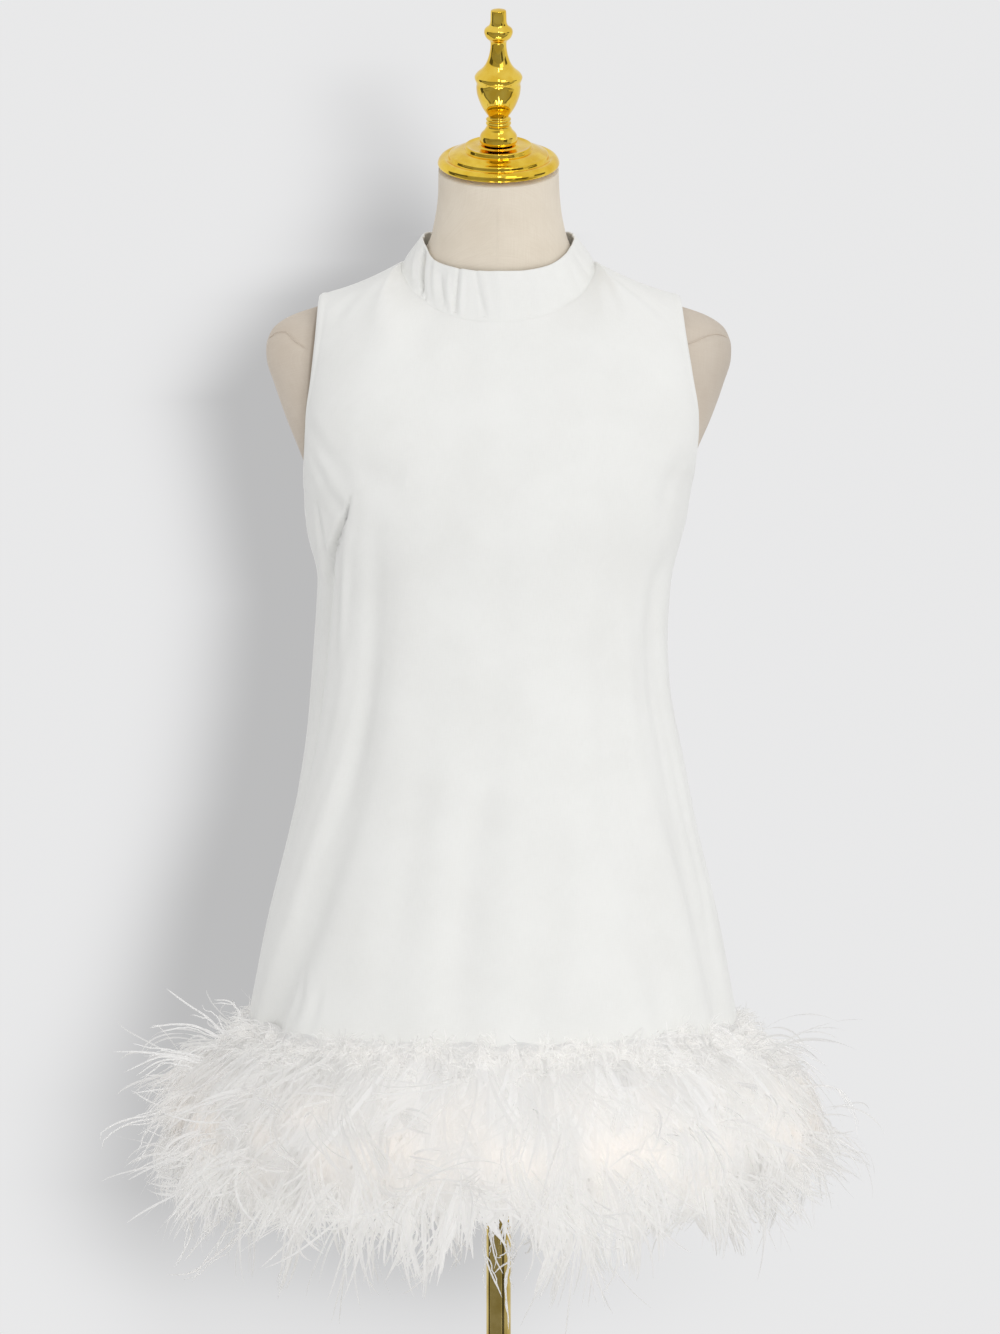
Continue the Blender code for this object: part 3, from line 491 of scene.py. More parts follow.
# ================================ materials ================================
class Paint:
    """A material's nodes, made and linked in few words."""

    def __init__(self, name):
        self.material = bpy.data.materials.new(name)
        self.material.use_nodes = True
        self.tree = self.material.node_tree
        self.shader = self.tree.nodes["Principled BSDF"]
        self.output = self.tree.nodes["Material Output"]

    def node(self, kind, inputs=None, **settings):
        made = self.tree.nodes.new("ShaderNode" + kind)
        for key, value in settings.items():
            setattr(made, key, value)
        for key, value in (inputs or {}).items():
            self.put(made.inputs[key], value)
        return made

    def put(self, socket, value):
        if isinstance(value, bpy.types.NodeSocket):
            self.tree.links.new(value, socket)
        elif isinstance(value, bpy.types.Node):
            self.tree.links.new(value.outputs[0], socket)
        elif isinstance(value, (tuple, list)) and len(value) == 3 and socket.type == "RGBA":
            socket.default_value = (*value, 1)
        else:
            socket.default_value = value

    def set(self, **values):
        names = {
            "colour": "Base Color", "roughness": "Roughness", "metallic": "Metallic", "normal": "Normal",
            "specular": "Specular IOR Level", "sheen": "Sheen Weight", "sheen_rough": "Sheen Roughness",
            "sheen_tint": "Sheen Tint", "coat": "Coat Weight", "coat_rough": "Coat Roughness",
            "anisotropic": "Anisotropic", "subsurface": "Subsurface Weight",
        }
        for key, value in values.items():
            self.put(self.shader.inputs[names[key]], value)
        return self

    def math(self, operation, a, b=None, c=None, clamp=False):
        made = self.node("Math", operation=operation, use_clamp=clamp)
        for k, value in enumerate((a, b, c)):
            if value is not None:
                self.put(made.inputs[k], value)
        return made.outputs[0]

    def mix(self, share, a, b):
        made = self.node("Mix", data_type="RGBA")
        self.put(made.inputs["Factor"], share)
        self.put(made.inputs[6], a)
        self.put(made.inputs[7], b)
        return made.outputs[2]

    def spread(self, value, low, high, to_low=0.0, to_high=1.0, soft=True):
        made = self.node("MapRange", interpolation_type="SMOOTHSTEP" if soft else "LINEAR")
        for k, v in enumerate((value, low, high, to_low, to_high)):
            self.put(made.inputs[k], v)
        return made.outputs[0]

    def noise(self, vector, scale, detail=2.0, rough=0.5, distortion=0.0):
        made = self.node("TexNoise", {"Scale": scale, "Detail": detail, "Roughness": rough, "Distortion": distortion})
        self.put(made.inputs["Vector"], vector)
        return made.outputs["Fac"]

    def scaled(self, vector, scale):
        made = self.node("Mapping", {"Scale": scale})
        self.put(made.inputs["Vector"], vector)
        return made.outputs[0]

    def uv(self, name="cloth"):
        return self.node("UVMap", uv_map=name).outputs[0]

    def place(self):
        return self.node("TexCoord").outputs["Object"]

    def bump(self, height, distance, strength=1.0, normal=None):
        made = self.node("Bump", {"Strength": strength, "Distance": distance})
        self.put(made.inputs["Height"], height)
        if normal is not None:
            self.put(made.inputs["Normal"], normal)
        return made.outputs[0]


def crepe(name, tint=(1.0, 1.0, 1.0)):
    """Warm white satin-backed crepe: fine pebbled weave, faint warp slubs, a soft sheen."""
    p = Paint(name)
    uv = p.uv()
    pebble = p.noise(uv, 1250.0, 3.0, 0.6)
    slub = p.noise(p.scaled(uv, (1500.0, 110.0, 1.0)), 1.0, 2.0, 0.5)
    weft = p.noise(p.scaled(uv, (160.0, 1700.0, 1.0)), 1.0, 2.0, 0.5)
    cloud = p.noise(uv, 16.0, 3.0, 0.55)
    fine = p.noise(uv, 420.0, 2.0, 0.5)
    weave = p.math("ADD", p.math("MULTIPLY", slub, 0.55), p.math("MULTIPLY", weft, 0.45))
    height = p.math("ADD", p.math("MULTIPLY", pebble, 0.55), p.math("MULTIPLY", weave, 0.6))
    light = tuple(c * t for c, t in zip((0.878, 0.880, 0.856), tint))
    dark = tuple(c * t for c, t in zip((0.838, 0.838, 0.812), tint))
    tone = p.math("ADD", p.math("MULTIPLY", weave, 0.5), p.math("MULTIPLY", cloud, 0.55))
    colour = p.mix(p.spread(tone, 0.34, 0.70), dark, light)
    rough = p.math("ADD", 0.50, p.math("MULTIPLY", p.math("ADD", cloud, fine), 0.085))
    p.set(colour=colour, roughness=rough, specular=0.30, sheen=0.12, sheen_rough=0.45)
    p.set(normal=p.bump(height, 0.00016, 0.30, p.bump(cloud, 0.0010, 0.22)))
    return p.material


def linen():
    """Natural linen: plain weave with slubs, stretched over the form."""
    p = Paint("linen_cover")
    uv = p.uv()
    parts = p.node("SeparateXYZ", {0: uv})
    wander = p.math("MULTIPLY", p.math("SUBTRACT", p.noise(uv, 70.0, 2.0), 0.5), 2.2)
    warp = p.math("SINE", p.math("ADD", p.math("MULTIPLY", parts.outputs[0], 2 * math.pi / 0.00092), wander))
    weft = p.math("SINE", p.math("ADD", p.math("MULTIPLY", parts.outputs[1], 2 * math.pi / 0.00085), wander))
    weave = p.math("MULTIPLY", warp, weft)
    slub_a = p.noise(p.scaled(uv, (900.0, 45.0, 1.0)), 1.0, 2.0, 0.6)
    slub_b = p.noise(p.scaled(uv, (50.0, 950.0, 1.0)), 1.0, 2.0, 0.6)
    slub = p.math("ADD", p.math("MULTIPLY", slub_a, 0.5), p.math("MULTIPLY", slub_b, 0.5))
    cloud = p.noise(p.place(), 24.0, 4.0, 0.6)
    fleck = p.spread(p.noise(uv, 620.0, 2.0, 0.7), 0.62, 0.78)
    tone = p.math("ADD", p.math("MULTIPLY", slub, 0.55), p.math("MULTIPLY", cloud, 0.55))
    colour = p.mix(p.spread(tone, 0.30, 0.80), (0.755, 0.668, 0.545), (0.840, 0.760, 0.640))
    colour = p.mix(p.math("MULTIPLY", fleck, 0.12), colour, (0.56, 0.46, 0.35))
    # the linen is darker further out from the middle, on the stubs
    reach = p.math("ABSOLUTE", p.node("SeparateXYZ", {0: p.place()}).outputs[0])
    colour = p.mix(p.math("MULTIPLY", p.spread(reach, 0.110, 0.150), 0.85), colour, p.mix(p.spread(tone, 0.30, 0.80), (0.630, 0.540, 0.445), (0.705, 0.625, 0.530)))
    # the cover is darker towards the end of the right stub
    where = p.node("SeparateXYZ", {0: p.place()})
    x, z = where.outputs[0], where.outputs[2]
    colour = p.mix(p.spread(x, 0.150, 0.192, 0.0, 0.20, soft=False), colour, (0.02, 0.015, 0.01))
    # painted shade along the left armhole's edge: a broad soft shade on the form beside the edge, and a thin dark line
    # standing for the shadow in the gap under the edge
    edge = p.spread(z, 1.205, 1.3634, 0.1602, 0.1462, soft=False)
    off = p.math("SUBTRACT", p.math("MULTIPLY", x, -1.0), edge)
    near = p.math("MULTIPLY", p.spread(off, -0.012, -0.006), p.spread(z, 1.195, 1.215))
    thin = p.math("MULTIPLY", near, p.math("SUBTRACT", 1.0, p.spread(off, 0.0002, 0.0030)))
    broad = p.math("MULTIPLY", near, p.math("SUBTRACT", 1.0, p.spread(off, 0.0, 0.011)))
    colour = p.mix(p.math("MULTIPLY", broad, 0.24), colour, (0.30, 0.235, 0.175))
    colour = p.mix(p.math("MULTIPLY", thin, 0.62), colour, (0.24, 0.18, 0.13))
    height = p.math("ADD", p.math("MULTIPLY", weave, 0.28), slub)
    p.set(colour=colour, roughness=p.math("ADD", 0.80, p.math("MULTIPLY", cloud, 0.12)), specular=0.22)
    p.set(sheen=0.15, sheen_rough=0.5)
    p.set(normal=p.bump(height, 0.00022, 0.55))
    return p.material


def thread(name, colour_a, colour_b):
    """A cord or stitched edge of twisted thread."""
    p = Paint(name)
    uv = p.uv()
    parts = p.node("SeparateXYZ", {0: uv})
    ply = p.math("SINE", p.math("MULTIPLY", p.math("ADD", parts.outputs[0], p.math("MULTIPLY", parts.outputs[1], 0.6)), 5200.0))
    fuzz = p.noise(p.place(), 900.0, 2.0, 0.6)
    tone = p.math("ADD", p.math("MULTIPLY", ply, 0.25), fuzz)
    p.set(colour=p.mix(p.spread(tone, 0.3, 0.8), colour_a, colour_b), roughness=p.math("ADD", 0.72, p.math("MULTIPLY", fuzz, 0.15)))
    p.set(specular=0.25, normal=p.bump(tone, 0.00015, 0.5))
    return p.material


def gold(name, deep, bright, rough_low, rough_high, wave=0.00012):
    """Polished plated metal: slightly wavy, with fine turning lines and a few dull spots."""
    p = Paint(name)
    place = p.place()
    uv = p.uv()
    lines = p.noise(p.scaled(uv, (3.0, 5200.0, 1.0)), 1.0, 2.0, 0.5)
    swell = p.noise(place, 70.0, 2.0, 0.5)
    dull = p.noise(place, 260.0, 3.0, 0.6)
    colour = p.mix(p.spread(p.math("ADD", swell, p.math("MULTIPLY", dull, 0.3)), 0.45, 0.85), deep, bright)
    rough = p.math("ADD", rough_low, p.math("MULTIPLY", p.spread(dull, 0.45, 0.8), rough_high - rough_low))
    p.set(colour=colour, metallic=1.0, roughness=rough, specular=0.5)
    p.set(normal=p.bump(lines, 0.000006, 0.5, p.bump(swell, wave, 0.6)))
    return p.material


def feather(name, through, low, high):
    """Ostrich barbs: warm white, thin enough for light to come through, a faint cream blush deep in the trim."""
    p = Paint(name)
    tone = p.node("Attribute", attribute_name="tone", attribute_type="GEOMETRY")
    parts = p.node("SeparateColor", {0: tone.outputs["Color"]})
    lightness, tint, along = parts.outputs[0], parts.outputs[1], parts.outputs[2]
    place = p.place()
    fuzz = p.noise(p.scaled(place, (1.0, 1.0, 1.0)), 1400.0, 2.0, 0.6)
    blush = p.math("MULTIPLY", tint, p.spread(p.noise(place, 22.0, 2.0, 0.5), 0.35, 0.65))
    white = p.mix(lightness, low, high)
    colour = p.mix(p.math("MULTIPLY", blush, 0.60, clamp=True), white, (0.975, 0.935, 0.895))
    colour = p.mix(p.math("MULTIPLY", p.spread(fuzz, 0.35, 0.7), 0.18), colour, (0.99, 0.985, 0.975))
    p.set(colour=colour, roughness=p.math("ADD", 0.60, p.math("MULTIPLY", fuzz, 0.22)), specular=0.12)
    p.set(sheen=0.05, sheen_rough=0.4, normal=p.bump(fuzz, 0.0002, 0.35))
    glow = p.node("BsdfTranslucent", {"Color": colour})
    mixed = p.node("MixShader", {0: through})
    p.put(mixed.inputs[1], p.shader.outputs[0])
    p.put(mixed.inputs[2], glow.outputs[0])
    p.put(p.output.inputs["Surface"], mixed.outputs[0])
    return p.material


def zip_metal(name):
    p = Paint(name)
    place = p.place()
    worn = p.noise(place, 900.0, 3.0, 0.6)
    p.set(colour=p.mix(p.spread(worn, 0.4, 0.7), (0.74, 0.74, 0.72), (0.86, 0.86, 0.84)), metallic=0.15)
    p.set(roughness=p.math("ADD", 0.26, p.math("MULTIPLY", worn, 0.2)), coat=0.4, coat_rough=0.2)
    p.set(normal=p.bump(worn, 0.00004, 0.4))
    return p.material


# ================================ the cloth ================================
# Creases seen on the front, along pixels of the frame: name, width, depth, ends (not used: every crease fades out at
# both ends), path. Depth is positive for a trough.
FRONT_CREASES = (
    # drag from the armhole to the bust, and the pocket under it
    ("armhole_drag_a", 0.0070, 0.0018, "both", ((309, 420), (318, 446), (332, 470), (346, 490), (362, 505))),
    ("armhole_drag_b", 0.0050, 0.0016, "both", ((309, 448), (318, 470), (328, 492), (340, 508), (351, 516))),
    ("armhole_drag_ridge", 0.0060, -0.0009, "both", ((312, 434), (325, 462), (340, 484), (356, 500))),
    ("bust_shade", 0.0130, 0.0022, "both", ((322, 452), (348, 470), (378, 478), (404, 482))),
    ("pocket_mouth", 0.0019, 0.0058, "both", ((351, 494), (348, 506), (344.5, 518), (340.5, 530), (337, 541), (334, 552))),
    ("pocket_deep", 0.0036, 0.0060, "both", ((345, 512), (339, 532), (334, 552), (331, 572), (329.5, 592))),
    ("pocket_edge", 0.0042, -0.0020, "both", ((356, 506), (351, 524), (346, 545), (344, 575), (343, 620), (338, 670))),
    ("pocket_second", 0.0034, 0.0024, "both", ((315, 500), (319, 524), (322, 548), (326, 576))),
    # long folds
    ("left_trough_core", 0.0070, 0.0016, "both",
     ((378, 505), (374, 560), (373, 620), (369, 690), (358, 750), (341, 808), (319, 868), (297, 925), (277, 985), (262, 1034))),
    ("left_trough_lip", 0.0110, -0.0005, "both", ((398, 560), (396, 640), (390, 700), (378, 760), (362, 822), (342, 884), (322, 944), (306, 1010))),
    ("left_edge_ridge", 0.0060, -0.0007, "both", ((349, 530), (348, 600), (343, 680), (328, 750), (309, 812), (290, 870), (272, 930))),
    ("left_low_second", 0.0050, 0.0020, "both", ((306, 962), (300, 1000), (290, 1024), (280, 1042))),
    ("left_low_third", 0.0040, 0.0014, "both", ((322, 985), (316, 1012), (306, 1040))),
    ("right_trough_core", 0.0085, 0.0014, "both", ((606, 560), (602, 640), (606, 720), (616, 815), (638, 895), (664, 972), (680, 1030))),
    ("right_ridge", 0.0085, -0.0024, "both", ((624, 560), (628, 660), (637, 755), (657, 828), (677, 897), (694, 975), (704, 1030))),
    ("right_outer_shade", 0.0060, 0.0016, "both", ((654, 560), (655, 640), (664, 715), (680, 790), (700, 880), (716, 965), (727, 1026))),
    ("right_outer_lip", 0.0050, -0.0010, "both", ((664, 640), (673, 720), (690, 800), (708, 880), (724, 965))),
    ("right_bust_dart_drag", 0.0080, 0.0014, "both", ((690, 446), (676, 470), (664, 500), (660, 540))),
    ("right_waist_soft", 0.0100, 0.0012, "both", ((676, 540), (664, 570), (652, 610), (648, 660))),
    ("centre_left_soft", 0.0100, 0.0010, "both", ((502, 735), (486, 800), (470, 850), (462, 915), (457, 985), (455, 1035))),
    ("centre_right_soft", 0.0110, 0.0009, "both", ((560, 800), (560, 880), (548, 960), (540, 1035))),
    ("centre_soft_ridge", 0.0150, -0.0012, "both", ((520, 760), (512, 850), (505, 940), (500, 1030))),
    ("left_inner_soft", 0.0120, 0.0010, "both", ((430, 690), (421, 790), (404, 880), (384, 970), (372, 1035))),
    ("left_inner_ridge", 0.0130, -0.0010, "both", ((448, 740), (436, 860), (424, 960), (415, 1035))),
    ("right_inner_soft", 0.0100, 0.0008, "both", ((588, 850), (600, 930), (612, 1000), (618, 1036))),
    # yoke
    ("shoulder_left_a", 0.0060, 0.0014, "both", ((362, 290), (350, 301), (338, 312), (330, 322))),
    ("shoulder_left_b", 0.0090, 0.0011, "both", ((397, 281), (403, 302), (407, 326), (409, 352))),
    ("shoulder_left_ridge", 0.0070, -0.0006, "both", ((382, 282), (380, 304), (375, 330))),
    ("shoulder_left_c", 0.0050, 0.0010, "both", ((386, 277), (378, 288), (369, 298))),
    ("shoulder_left_d", 0.0034, 0.0012, "both", ((398, 274), (393, 284), (385, 294))),
    ("neck_left_soft", 0.0100, 0.0014, "both", ((424, 306), (420, 330), (414, 360))),
    ("shoulder_right_a", 0.0052, 0.0018, "both", ((604, 271), (622, 283), (642, 296), (662, 312), (672, 326))),
    ("shoulder_right_b", 0.0050, 0.0016, "both", ((603, 272), (611, 290), (617, 308), (619, 326))),
    ("shoulder_right_ridge", 0.0060, -0.0012, "both", ((600, 276), (626, 296), (650, 318))),
    ("chest_soft_left", 0.0160, 0.0009, "both", ((412, 372), (424, 410), (432, 452))),
    ("chest_soft_right", 0.0160, 0.0008, "both", ((606, 350), (598, 400), (596, 450))),
)
# Creases on the back, in metres across and up: name, width, depth, path of (x, z)
BACK_CREASES = (
    ("zip_pucker_1", 0.0052, 0.0010, ((-0.002, 1.330), (-0.016, 1.318), (-0.031, 1.312))),
    ("zip_pucker_2", 0.0048, 0.0009, ((0.002, 1.286), (0.015, 1.276), (0.034, 1.272))),
    ("zip_pucker_3", 0.0056, 0.0010, ((-0.002, 1.214), (-0.019, 1.206), (-0.038, 1.208))),
    ("zip_pucker_4", 0.0052, 0.0011, ((0.002, 1.150), (0.018, 1.143), (0.041, 1.140))),
    ("zip_pucker_5", 0.0050, 0.0009, ((-0.002, 1.092), (-0.016, 1.086), (-0.034, 1.088))),
    ("zip_end", 0.0060, 0.0013, ((0.001, 1.020), (-0.010, 1.000), (-0.016, 0.968))),
    ("waist_left", 0.0080, 0.0022, ((-0.020, 1.070), (-0.056, 1.056), (-0.096, 1.058), (-0.128, 1.074))),
    ("waist_left_low", 0.0070, 0.0018, ((-0.032, 1.034), (-0.070, 1.022), (-0.112, 1.028))),
    ("waist_right", 0.0085, 0.0022, ((0.024, 1.082), (0.062, 1.066), (0.102, 1.070), (0.126, 1.086))),
    ("waist_right_low", 0.0070, 0.0016, ((0.046, 1.040), (0.080, 1.034), (0.110, 1.044))),
    ("drag_left", 0.0066, 0.0026, ((-0.150, 1.198), (-0.132, 1.172), (-0.108, 1.150), (-0.086, 1.140))),
    ("drag_left_low", 0.0056, 0.0020, ((-0.150, 1.168), (-0.136, 1.140), (-0.120, 1.116), (-0.112, 1.086))),
    ("drag_right", 0.0070, 0.0024, ((0.150, 1.200), (0.130, 1.176), (0.104, 1.158))),
    ("drag_right_low", 0.0058, 0.0020, ((0.146, 1.160), (0.130, 1.130), (0.120, 1.098))),
    ("shoulder_left", 0.0060, 0.0016, ((-0.128, 1.356), (-0.112, 1.334), (-0.104, 1.306))),
    ("shoulder_right", 0.0060, 0.0016, ((0.132, 1.352), (0.114, 1.332), (0.108, 1.300))),
    ("neck_left", 0.0060, 0.0012, ((-0.066, 1.376), (-0.060, 1.350), (-0.062, 1.318))),
    ("neck_right", 0.0060, 0.0012, ((0.058, 1.378), (0.056, 1.356), (0.050, 1.330))),
    ("skirt_left_a", 0.0075, 0.0026, ((-0.104, 1.010), (-0.112, 0.930), (-0.122, 0.850), (-0.130, 0.762))),
    ("skirt_left_ridge", 0.0100, -0.0020, ((-0.088, 0.980), (-0.092, 0.900), (-0.098, 0.820), (-0.104, 0.750))),
    ("skirt_left_b", 0.0060, 0.0020, ((-0.052, 0.940), (-0.050, 0.870), (-0.054, 0.800), (-0.056, 0.740))),
    ("skirt_left_c", 0.0060, 0.0016, ((-0.146, 0.900), (-0.160, 0.820), (-0.170, 0.750))),
    ("skirt_right_a", 0.0080, 0.0024, ((0.100, 1.030), (0.106, 0.950), (0.114, 0.860), (0.120, 0.760))),
    ("skirt_right_ridge", 0.0100, -0.0018, ((0.082, 1.000), (0.086, 0.900), (0.088, 0.820), (0.094, 0.750))),
    ("skirt_right_b", 0.0060, 0.0018, ((0.056, 0.900), (0.060, 0.830), (0.062, 0.750))),
    ("skirt_right_c", 0.0065, 0.0016, ((0.138, 0.880), (0.150, 0.810), (0.158, 0.750))),
    ("skirt_centre", 0.0090, 0.0010, ((-0.018, 0.900), (-0.020, 0.820), (-0.022, 0.745))),
)
# Bust darts: seam line from the side seam to the point, pixels on the front
DARTS = (
    ((308, 524), (326, 512), (346, 500), (366, 489)),
    ((689, 520), (672, 508), (654, 497), (636, 487)),
)

BODY_ROWS = np.concatenate([np.linspace(0.680, 0.760, 15)[:-1], np.linspace(0.760, ARMPIT_Z, 101)])
YOKE_STEPS = np.linspace(0, 1, 61)[1:]


def edge_dense(u_from, u_to, count):
    """u across a panel, with extra columns near both edges for the seams."""
    near = np.array([0.0, 0.0022, 0.0046, 0.0075, 0.0110, 0.0150])
    inner = np.linspace(near[-1], (u_to - u_from) - near[-1], count - 2 * (len(near) - 1) + 1)
    offsets = np.concatenate([near[:-1], inner, (u_to - u_from) - near[:-1][::-1]])
    return u_from + offsets


def panel_grid(panel, u):
    turn = u * math.pi / 2 if panel == "front" else math.pi - u * math.pi / 2
    rows = [body_point(turn, z) for z in BODY_ROWS]
    for t in YOKE_STEPS:
        rows.append(yoke_point(panel, u, t))
    return np.array(rows)


def crease_push(grid, normal, name, width, depth, ends, line):
    """How far a crease moves the cloth: in along its line, and a little out beside it, unevenly along its length."""
    dist, share, offset, ahead = near_line(grid, line)
    seed = sum(ord(c) for c in name) * 0.37
    fade = np.sin(np.clip(share, 0, 1) * math.pi) ** 0.7
    uneven = 1 + 0.22 * np.sin(share * 7.3 + seed) + 0.10 * np.sin(share * 17.1 + 2 * seed)
    away = dist / (width * (0.85 + 0.3 * np.clip(share, 0, 1)))
    dip = np.exp(-(away**2))
    lip = 0.28 * np.exp(-(((away - 1.9) / 0.8) ** 2))
    flat = (share <= 0) | (share >= 1)
    cap = np.where(flat, np.exp(-((dist / width) ** 2)), 1)
    return -depth * (dip - lip) * fade * uneven * cap


def surface_at_pixels(grid, normal, path):
    """The points of a grid that show at these pixels."""
    flat, n = grid.reshape(-1, 3), normal.reshape(-1, 3)
    seen = ((CAMERA_AT - flat) * n).sum(-1) > 0
    candidates = flat[seen]
    pixels = to_pixel(candidates)
    found = []
    for px, py in path:
        found.append(candidates[np.argmin(((pixels - (px, py)) ** 2).sum(-1))])
    return np.array(found)


def surface_at_xz(grid, path):
    flat = grid.reshape(-1, 3)
    return np.array([flat[np.argmin((flat[:, 0] - x) ** 2 + (flat[:, 2] - z) ** 2)] for x, z in path])


def uv_of(grid, u_zero):
    """Width and length along the cloth, in metres, for the weave."""
    over = np.linalg.norm(np.diff(grid, axis=1), axis=-1)
    across = np.concatenate([np.zeros((len(grid), 1)), np.cumsum(over, 1)], 1)
    across -= across[:, u_zero : u_zero + 1]
    up = np.linalg.norm(np.diff(grid, axis=0), axis=-1)
    along = np.concatenate([np.zeros((1, grid.shape[1])), np.cumsum(up, 0)], 0)
    return np.stack([across, along], -1)


def eased(grid, row, share, reach=11):
    """The grid with the bend at one of its rows spread over the rows beside it."""
    made = grid.copy()
    for k in range(row - 2 * reach, row + 2 * reach + 1):
        away = (k - row) / reach
        half = int(round(reach * math.exp(-(away**2))))
        if half > 0:
            weight = np.exp(-((np.arange(-half, half + 1) / (half * 0.6)) ** 2))
            weight /= weight.sum()
            soft = np.tensordot(weight, grid[k - half : k + half + 1], axes=(0, 0))
            made[k] = grid[k] + (soft - grid[k]) * share[:, None]
    return made


def dress_panel(name, panel, u_from, u_to, columns, material, cad_node):
    u = edge_dense(u_from, u_to, columns)
    grid = panel_grid(panel, u)
    first_yoke = len(BODY_ROWS)
    grid = eased(grid, first_yoke, np.clip((1 - np.abs(u)) / 0.035, 0, 1))
    spine = np.zeros_like(grid)
    spine[..., 2] = grid[..., 2] - 0.04
    normal = grid_normals(grid, spine)
    facing = -1 if panel == "front" else 1
    shoulder = np.abs(u) >= NECK_SHARE - 1e-9
    base = grid.copy()
    push = np.zeros(grid.shape[:2])

    if panel == "front":
        for crease, width, depth, ends, path in FRONT_CREASES:
            line = fine_line(surface_at_pixels(base, normal, path), 0.004)
            push += crease_push(base, normal, crease, width, depth, ends, line)
        for dart in DARTS:
            line = fine_line(surface_at_pixels(base, normal, dart), 0.002)
            dist, share, _, _ = near_line(base, line)
            push -= 0.0003 * np.exp(-((dist / 0.0016) ** 2)) * (share < 1) * np.clip(1.15 - share, 0, 1)
            push += 0.0002 * np.exp(-(((dist - 0.0055) / 0.0035) ** 2)) * np.clip(share * 8, 0, 1) * np.clip((1 - share) * 8, 0, 1)
    else:
        for crease, width, depth, path in BACK_CREASES:
            if (u_from + u_to) * path[-1][0] < 0:
                continue
            line = fine_line(surface_at_xz(base, path), 0.004)
            push += crease_push(base, normal, crease, width, depth, "both", line)

    # gentle unevenness of hung cloth
    x, y, z = np.moveaxis(grid, -1, 0)
    turn = np.arctan2(x, -y)
    push += 0.00045 * np.sin(turn * 9.0 + 5.0 * z + 0.7) * np.clip((1.1 - z) / 0.4, 0, 1)
    push += 0.00025 * np.sin(turn * 17.0 - 9.0 * z + 2.1)
    push += 0.00018 * np.sin(z * 61.0 + turn * 4.0)

    # seams: the cloth rolls under along each sewn edge, and puckers a little
    over = np.linalg.norm(np.diff(base, axis=1), axis=-1)
    run = np.concatenate([np.zeros((len(base), 1)), np.cumsum(over, 1)], 1)
    from_low, from_high = run, run[:, -1:] - run
    for edge, dist in ((0, from_low), (-1, from_high)):
        is_side = abs(abs(u[edge]) - 1) < 1e-9
        roll = np.exp(-((dist / 0.0011) ** 2))
        pucker = np.exp(-((dist / 0.0060) ** 2)) * (0.00022 * np.sin(z * 340.0) + 0.00016 * np.sin(z * 803.0 + 1.3))
        if is_side:
            sewn = np.arange(len(base)) < first_yoke
            push -= np.where(sewn[:, None], 0.0008 * roll, 0.0005 * roll)
            push += np.where(sewn[:, None], pucker + 0.00022 * np.exp(-(((dist - 0.0105) / 0.0018) ** 2)), 0)
            # turned armhole edge: a soft ridge where the facing is pressed, and its under-stitched line
            push += np.where(sewn[:, None], 0, 0.00042 * np.exp(-(((dist - 0.0032) / 0.0020) ** 2)))
            push -= np.where(sewn[:, None], 0, 0.00030 * np.exp(-(((dist - 0.0072) / 0.0014) ** 2)))
        else:
            push -= 0.0009 * roll
            push += pucker * 1.5 - 0.00035 * np.exp(-(((dist - 0.0085) / 0.0012) ** 2))
    below_top = np.linalg.norm(base - base[-1:], axis=-1)
    push -= np.where(shoulder[None], 0.0007, 0.0002) * np.exp(-((below_top / 0.0012) ** 2))
    push += np.where(shoulder[None], 0.0003, 0.0001) * np.exp(-(((below_top - 0.0045) / 0.0022) ** 2))
    hem = np.clip(z - HEM_Z, 0, None)
    push -= 0.0004 * np.exp(-(((hem - 0.030) / 0.0012) ** 2))

    grid = grid + normal * push[..., None]
    for edge in (0, -1):
        if abs(abs(u[edge]) - 1) < 1e-9:
            normal[:first_yoke, edge, 1] = 0
            grid[:first_yoke, edge, 1] = facing * SEAM_GAP / 2
        if abs(u[edge]) < 1e-9:
            normal[:, edge, 0] = 0
            grid[:, edge, 0] = (1 if u_from + u_to > 0 else -1) * SEAM_GAP / 2
    normal[-1, shoulder, 1] = 0
    grid[-1, shoulder, 1] = facing * SEAM_GAP / 2
    normal = unit(normal)
    points, quads = thin_shell(grid, grid - CLOTH * normal)
    mesh = raw_mesh(name, points, quads)
    zero = int(np.argmin(np.abs(u)))
    uv = uv_of(base, zero).reshape(-1, 2)
    set_uv(mesh, np.concatenate([uv, uv]))
    made = add(name, mesh, material, replaces=[cad_node])
    return made, grid, normal, u


# Pleats of the collar in front, pixels across at the seam and at the top edge: width, depth (positive is a trough),
# reach up the collar
COLLAR_FRONT_PLEATS = (
    (414.0, 419.5, 0.0040, -0.0014, 0.95),
    (429.8, 429.5, 0.0022, -0.0008, 0.95),
    (436.8, 436.0, 0.0028, -0.0016, 1.00),
    (446.5, 441.0, 0.0015, 0.0016, 0.62),
    (450.0, 449.0, 0.0022, -0.0011, 0.70),
    (455.0, 458.8, 0.0017, 0.0026, 1.00),
    (460.8, 464.0, 0.0024, -0.0012, 0.90),
    (470.0, 470.5, 0.0030, -0.0004, 0.90),
    (485.0, 476.0, 0.0020, 0.0014, 1.00),
    (491.0, 484.0, 0.0028, -0.0006, 0.90),
    (530.0, 531.0, 0.0024, 0.0003, 1.00),
    (541.0, 540.0, 0.0040, -0.0004, 0.90),
)
# the same round the rest, turns at the seam and at the top edge
COLLAR_PLEATS = (
    (58.0, 60.0, 0.0036, 0.0006, 1.00),
    (74.0, 71.0, 0.0034, 0.0008, 1.00),
    (92.0, 96.0, 0.0030, 0.0012, 1.00),
    (103.0, 99.0, 0.0034, -0.0008, 1.00),
    (128.0, 131.0, 0.0030, 0.0008, 0.80),
    (149.0, 147.0, 0.0028, 0.0009, 0.90),
    (-97.0, -92.0, 0.0030, 0.0012, 1.00),
    (-118.0, -121.0, 0.0032, 0.0009, 0.85),
    (-141.0, -138.0, 0.0030, 0.0010, 0.90),
    (-160.0, -162.0, 0.0026, 0.0006, 0.80),
)


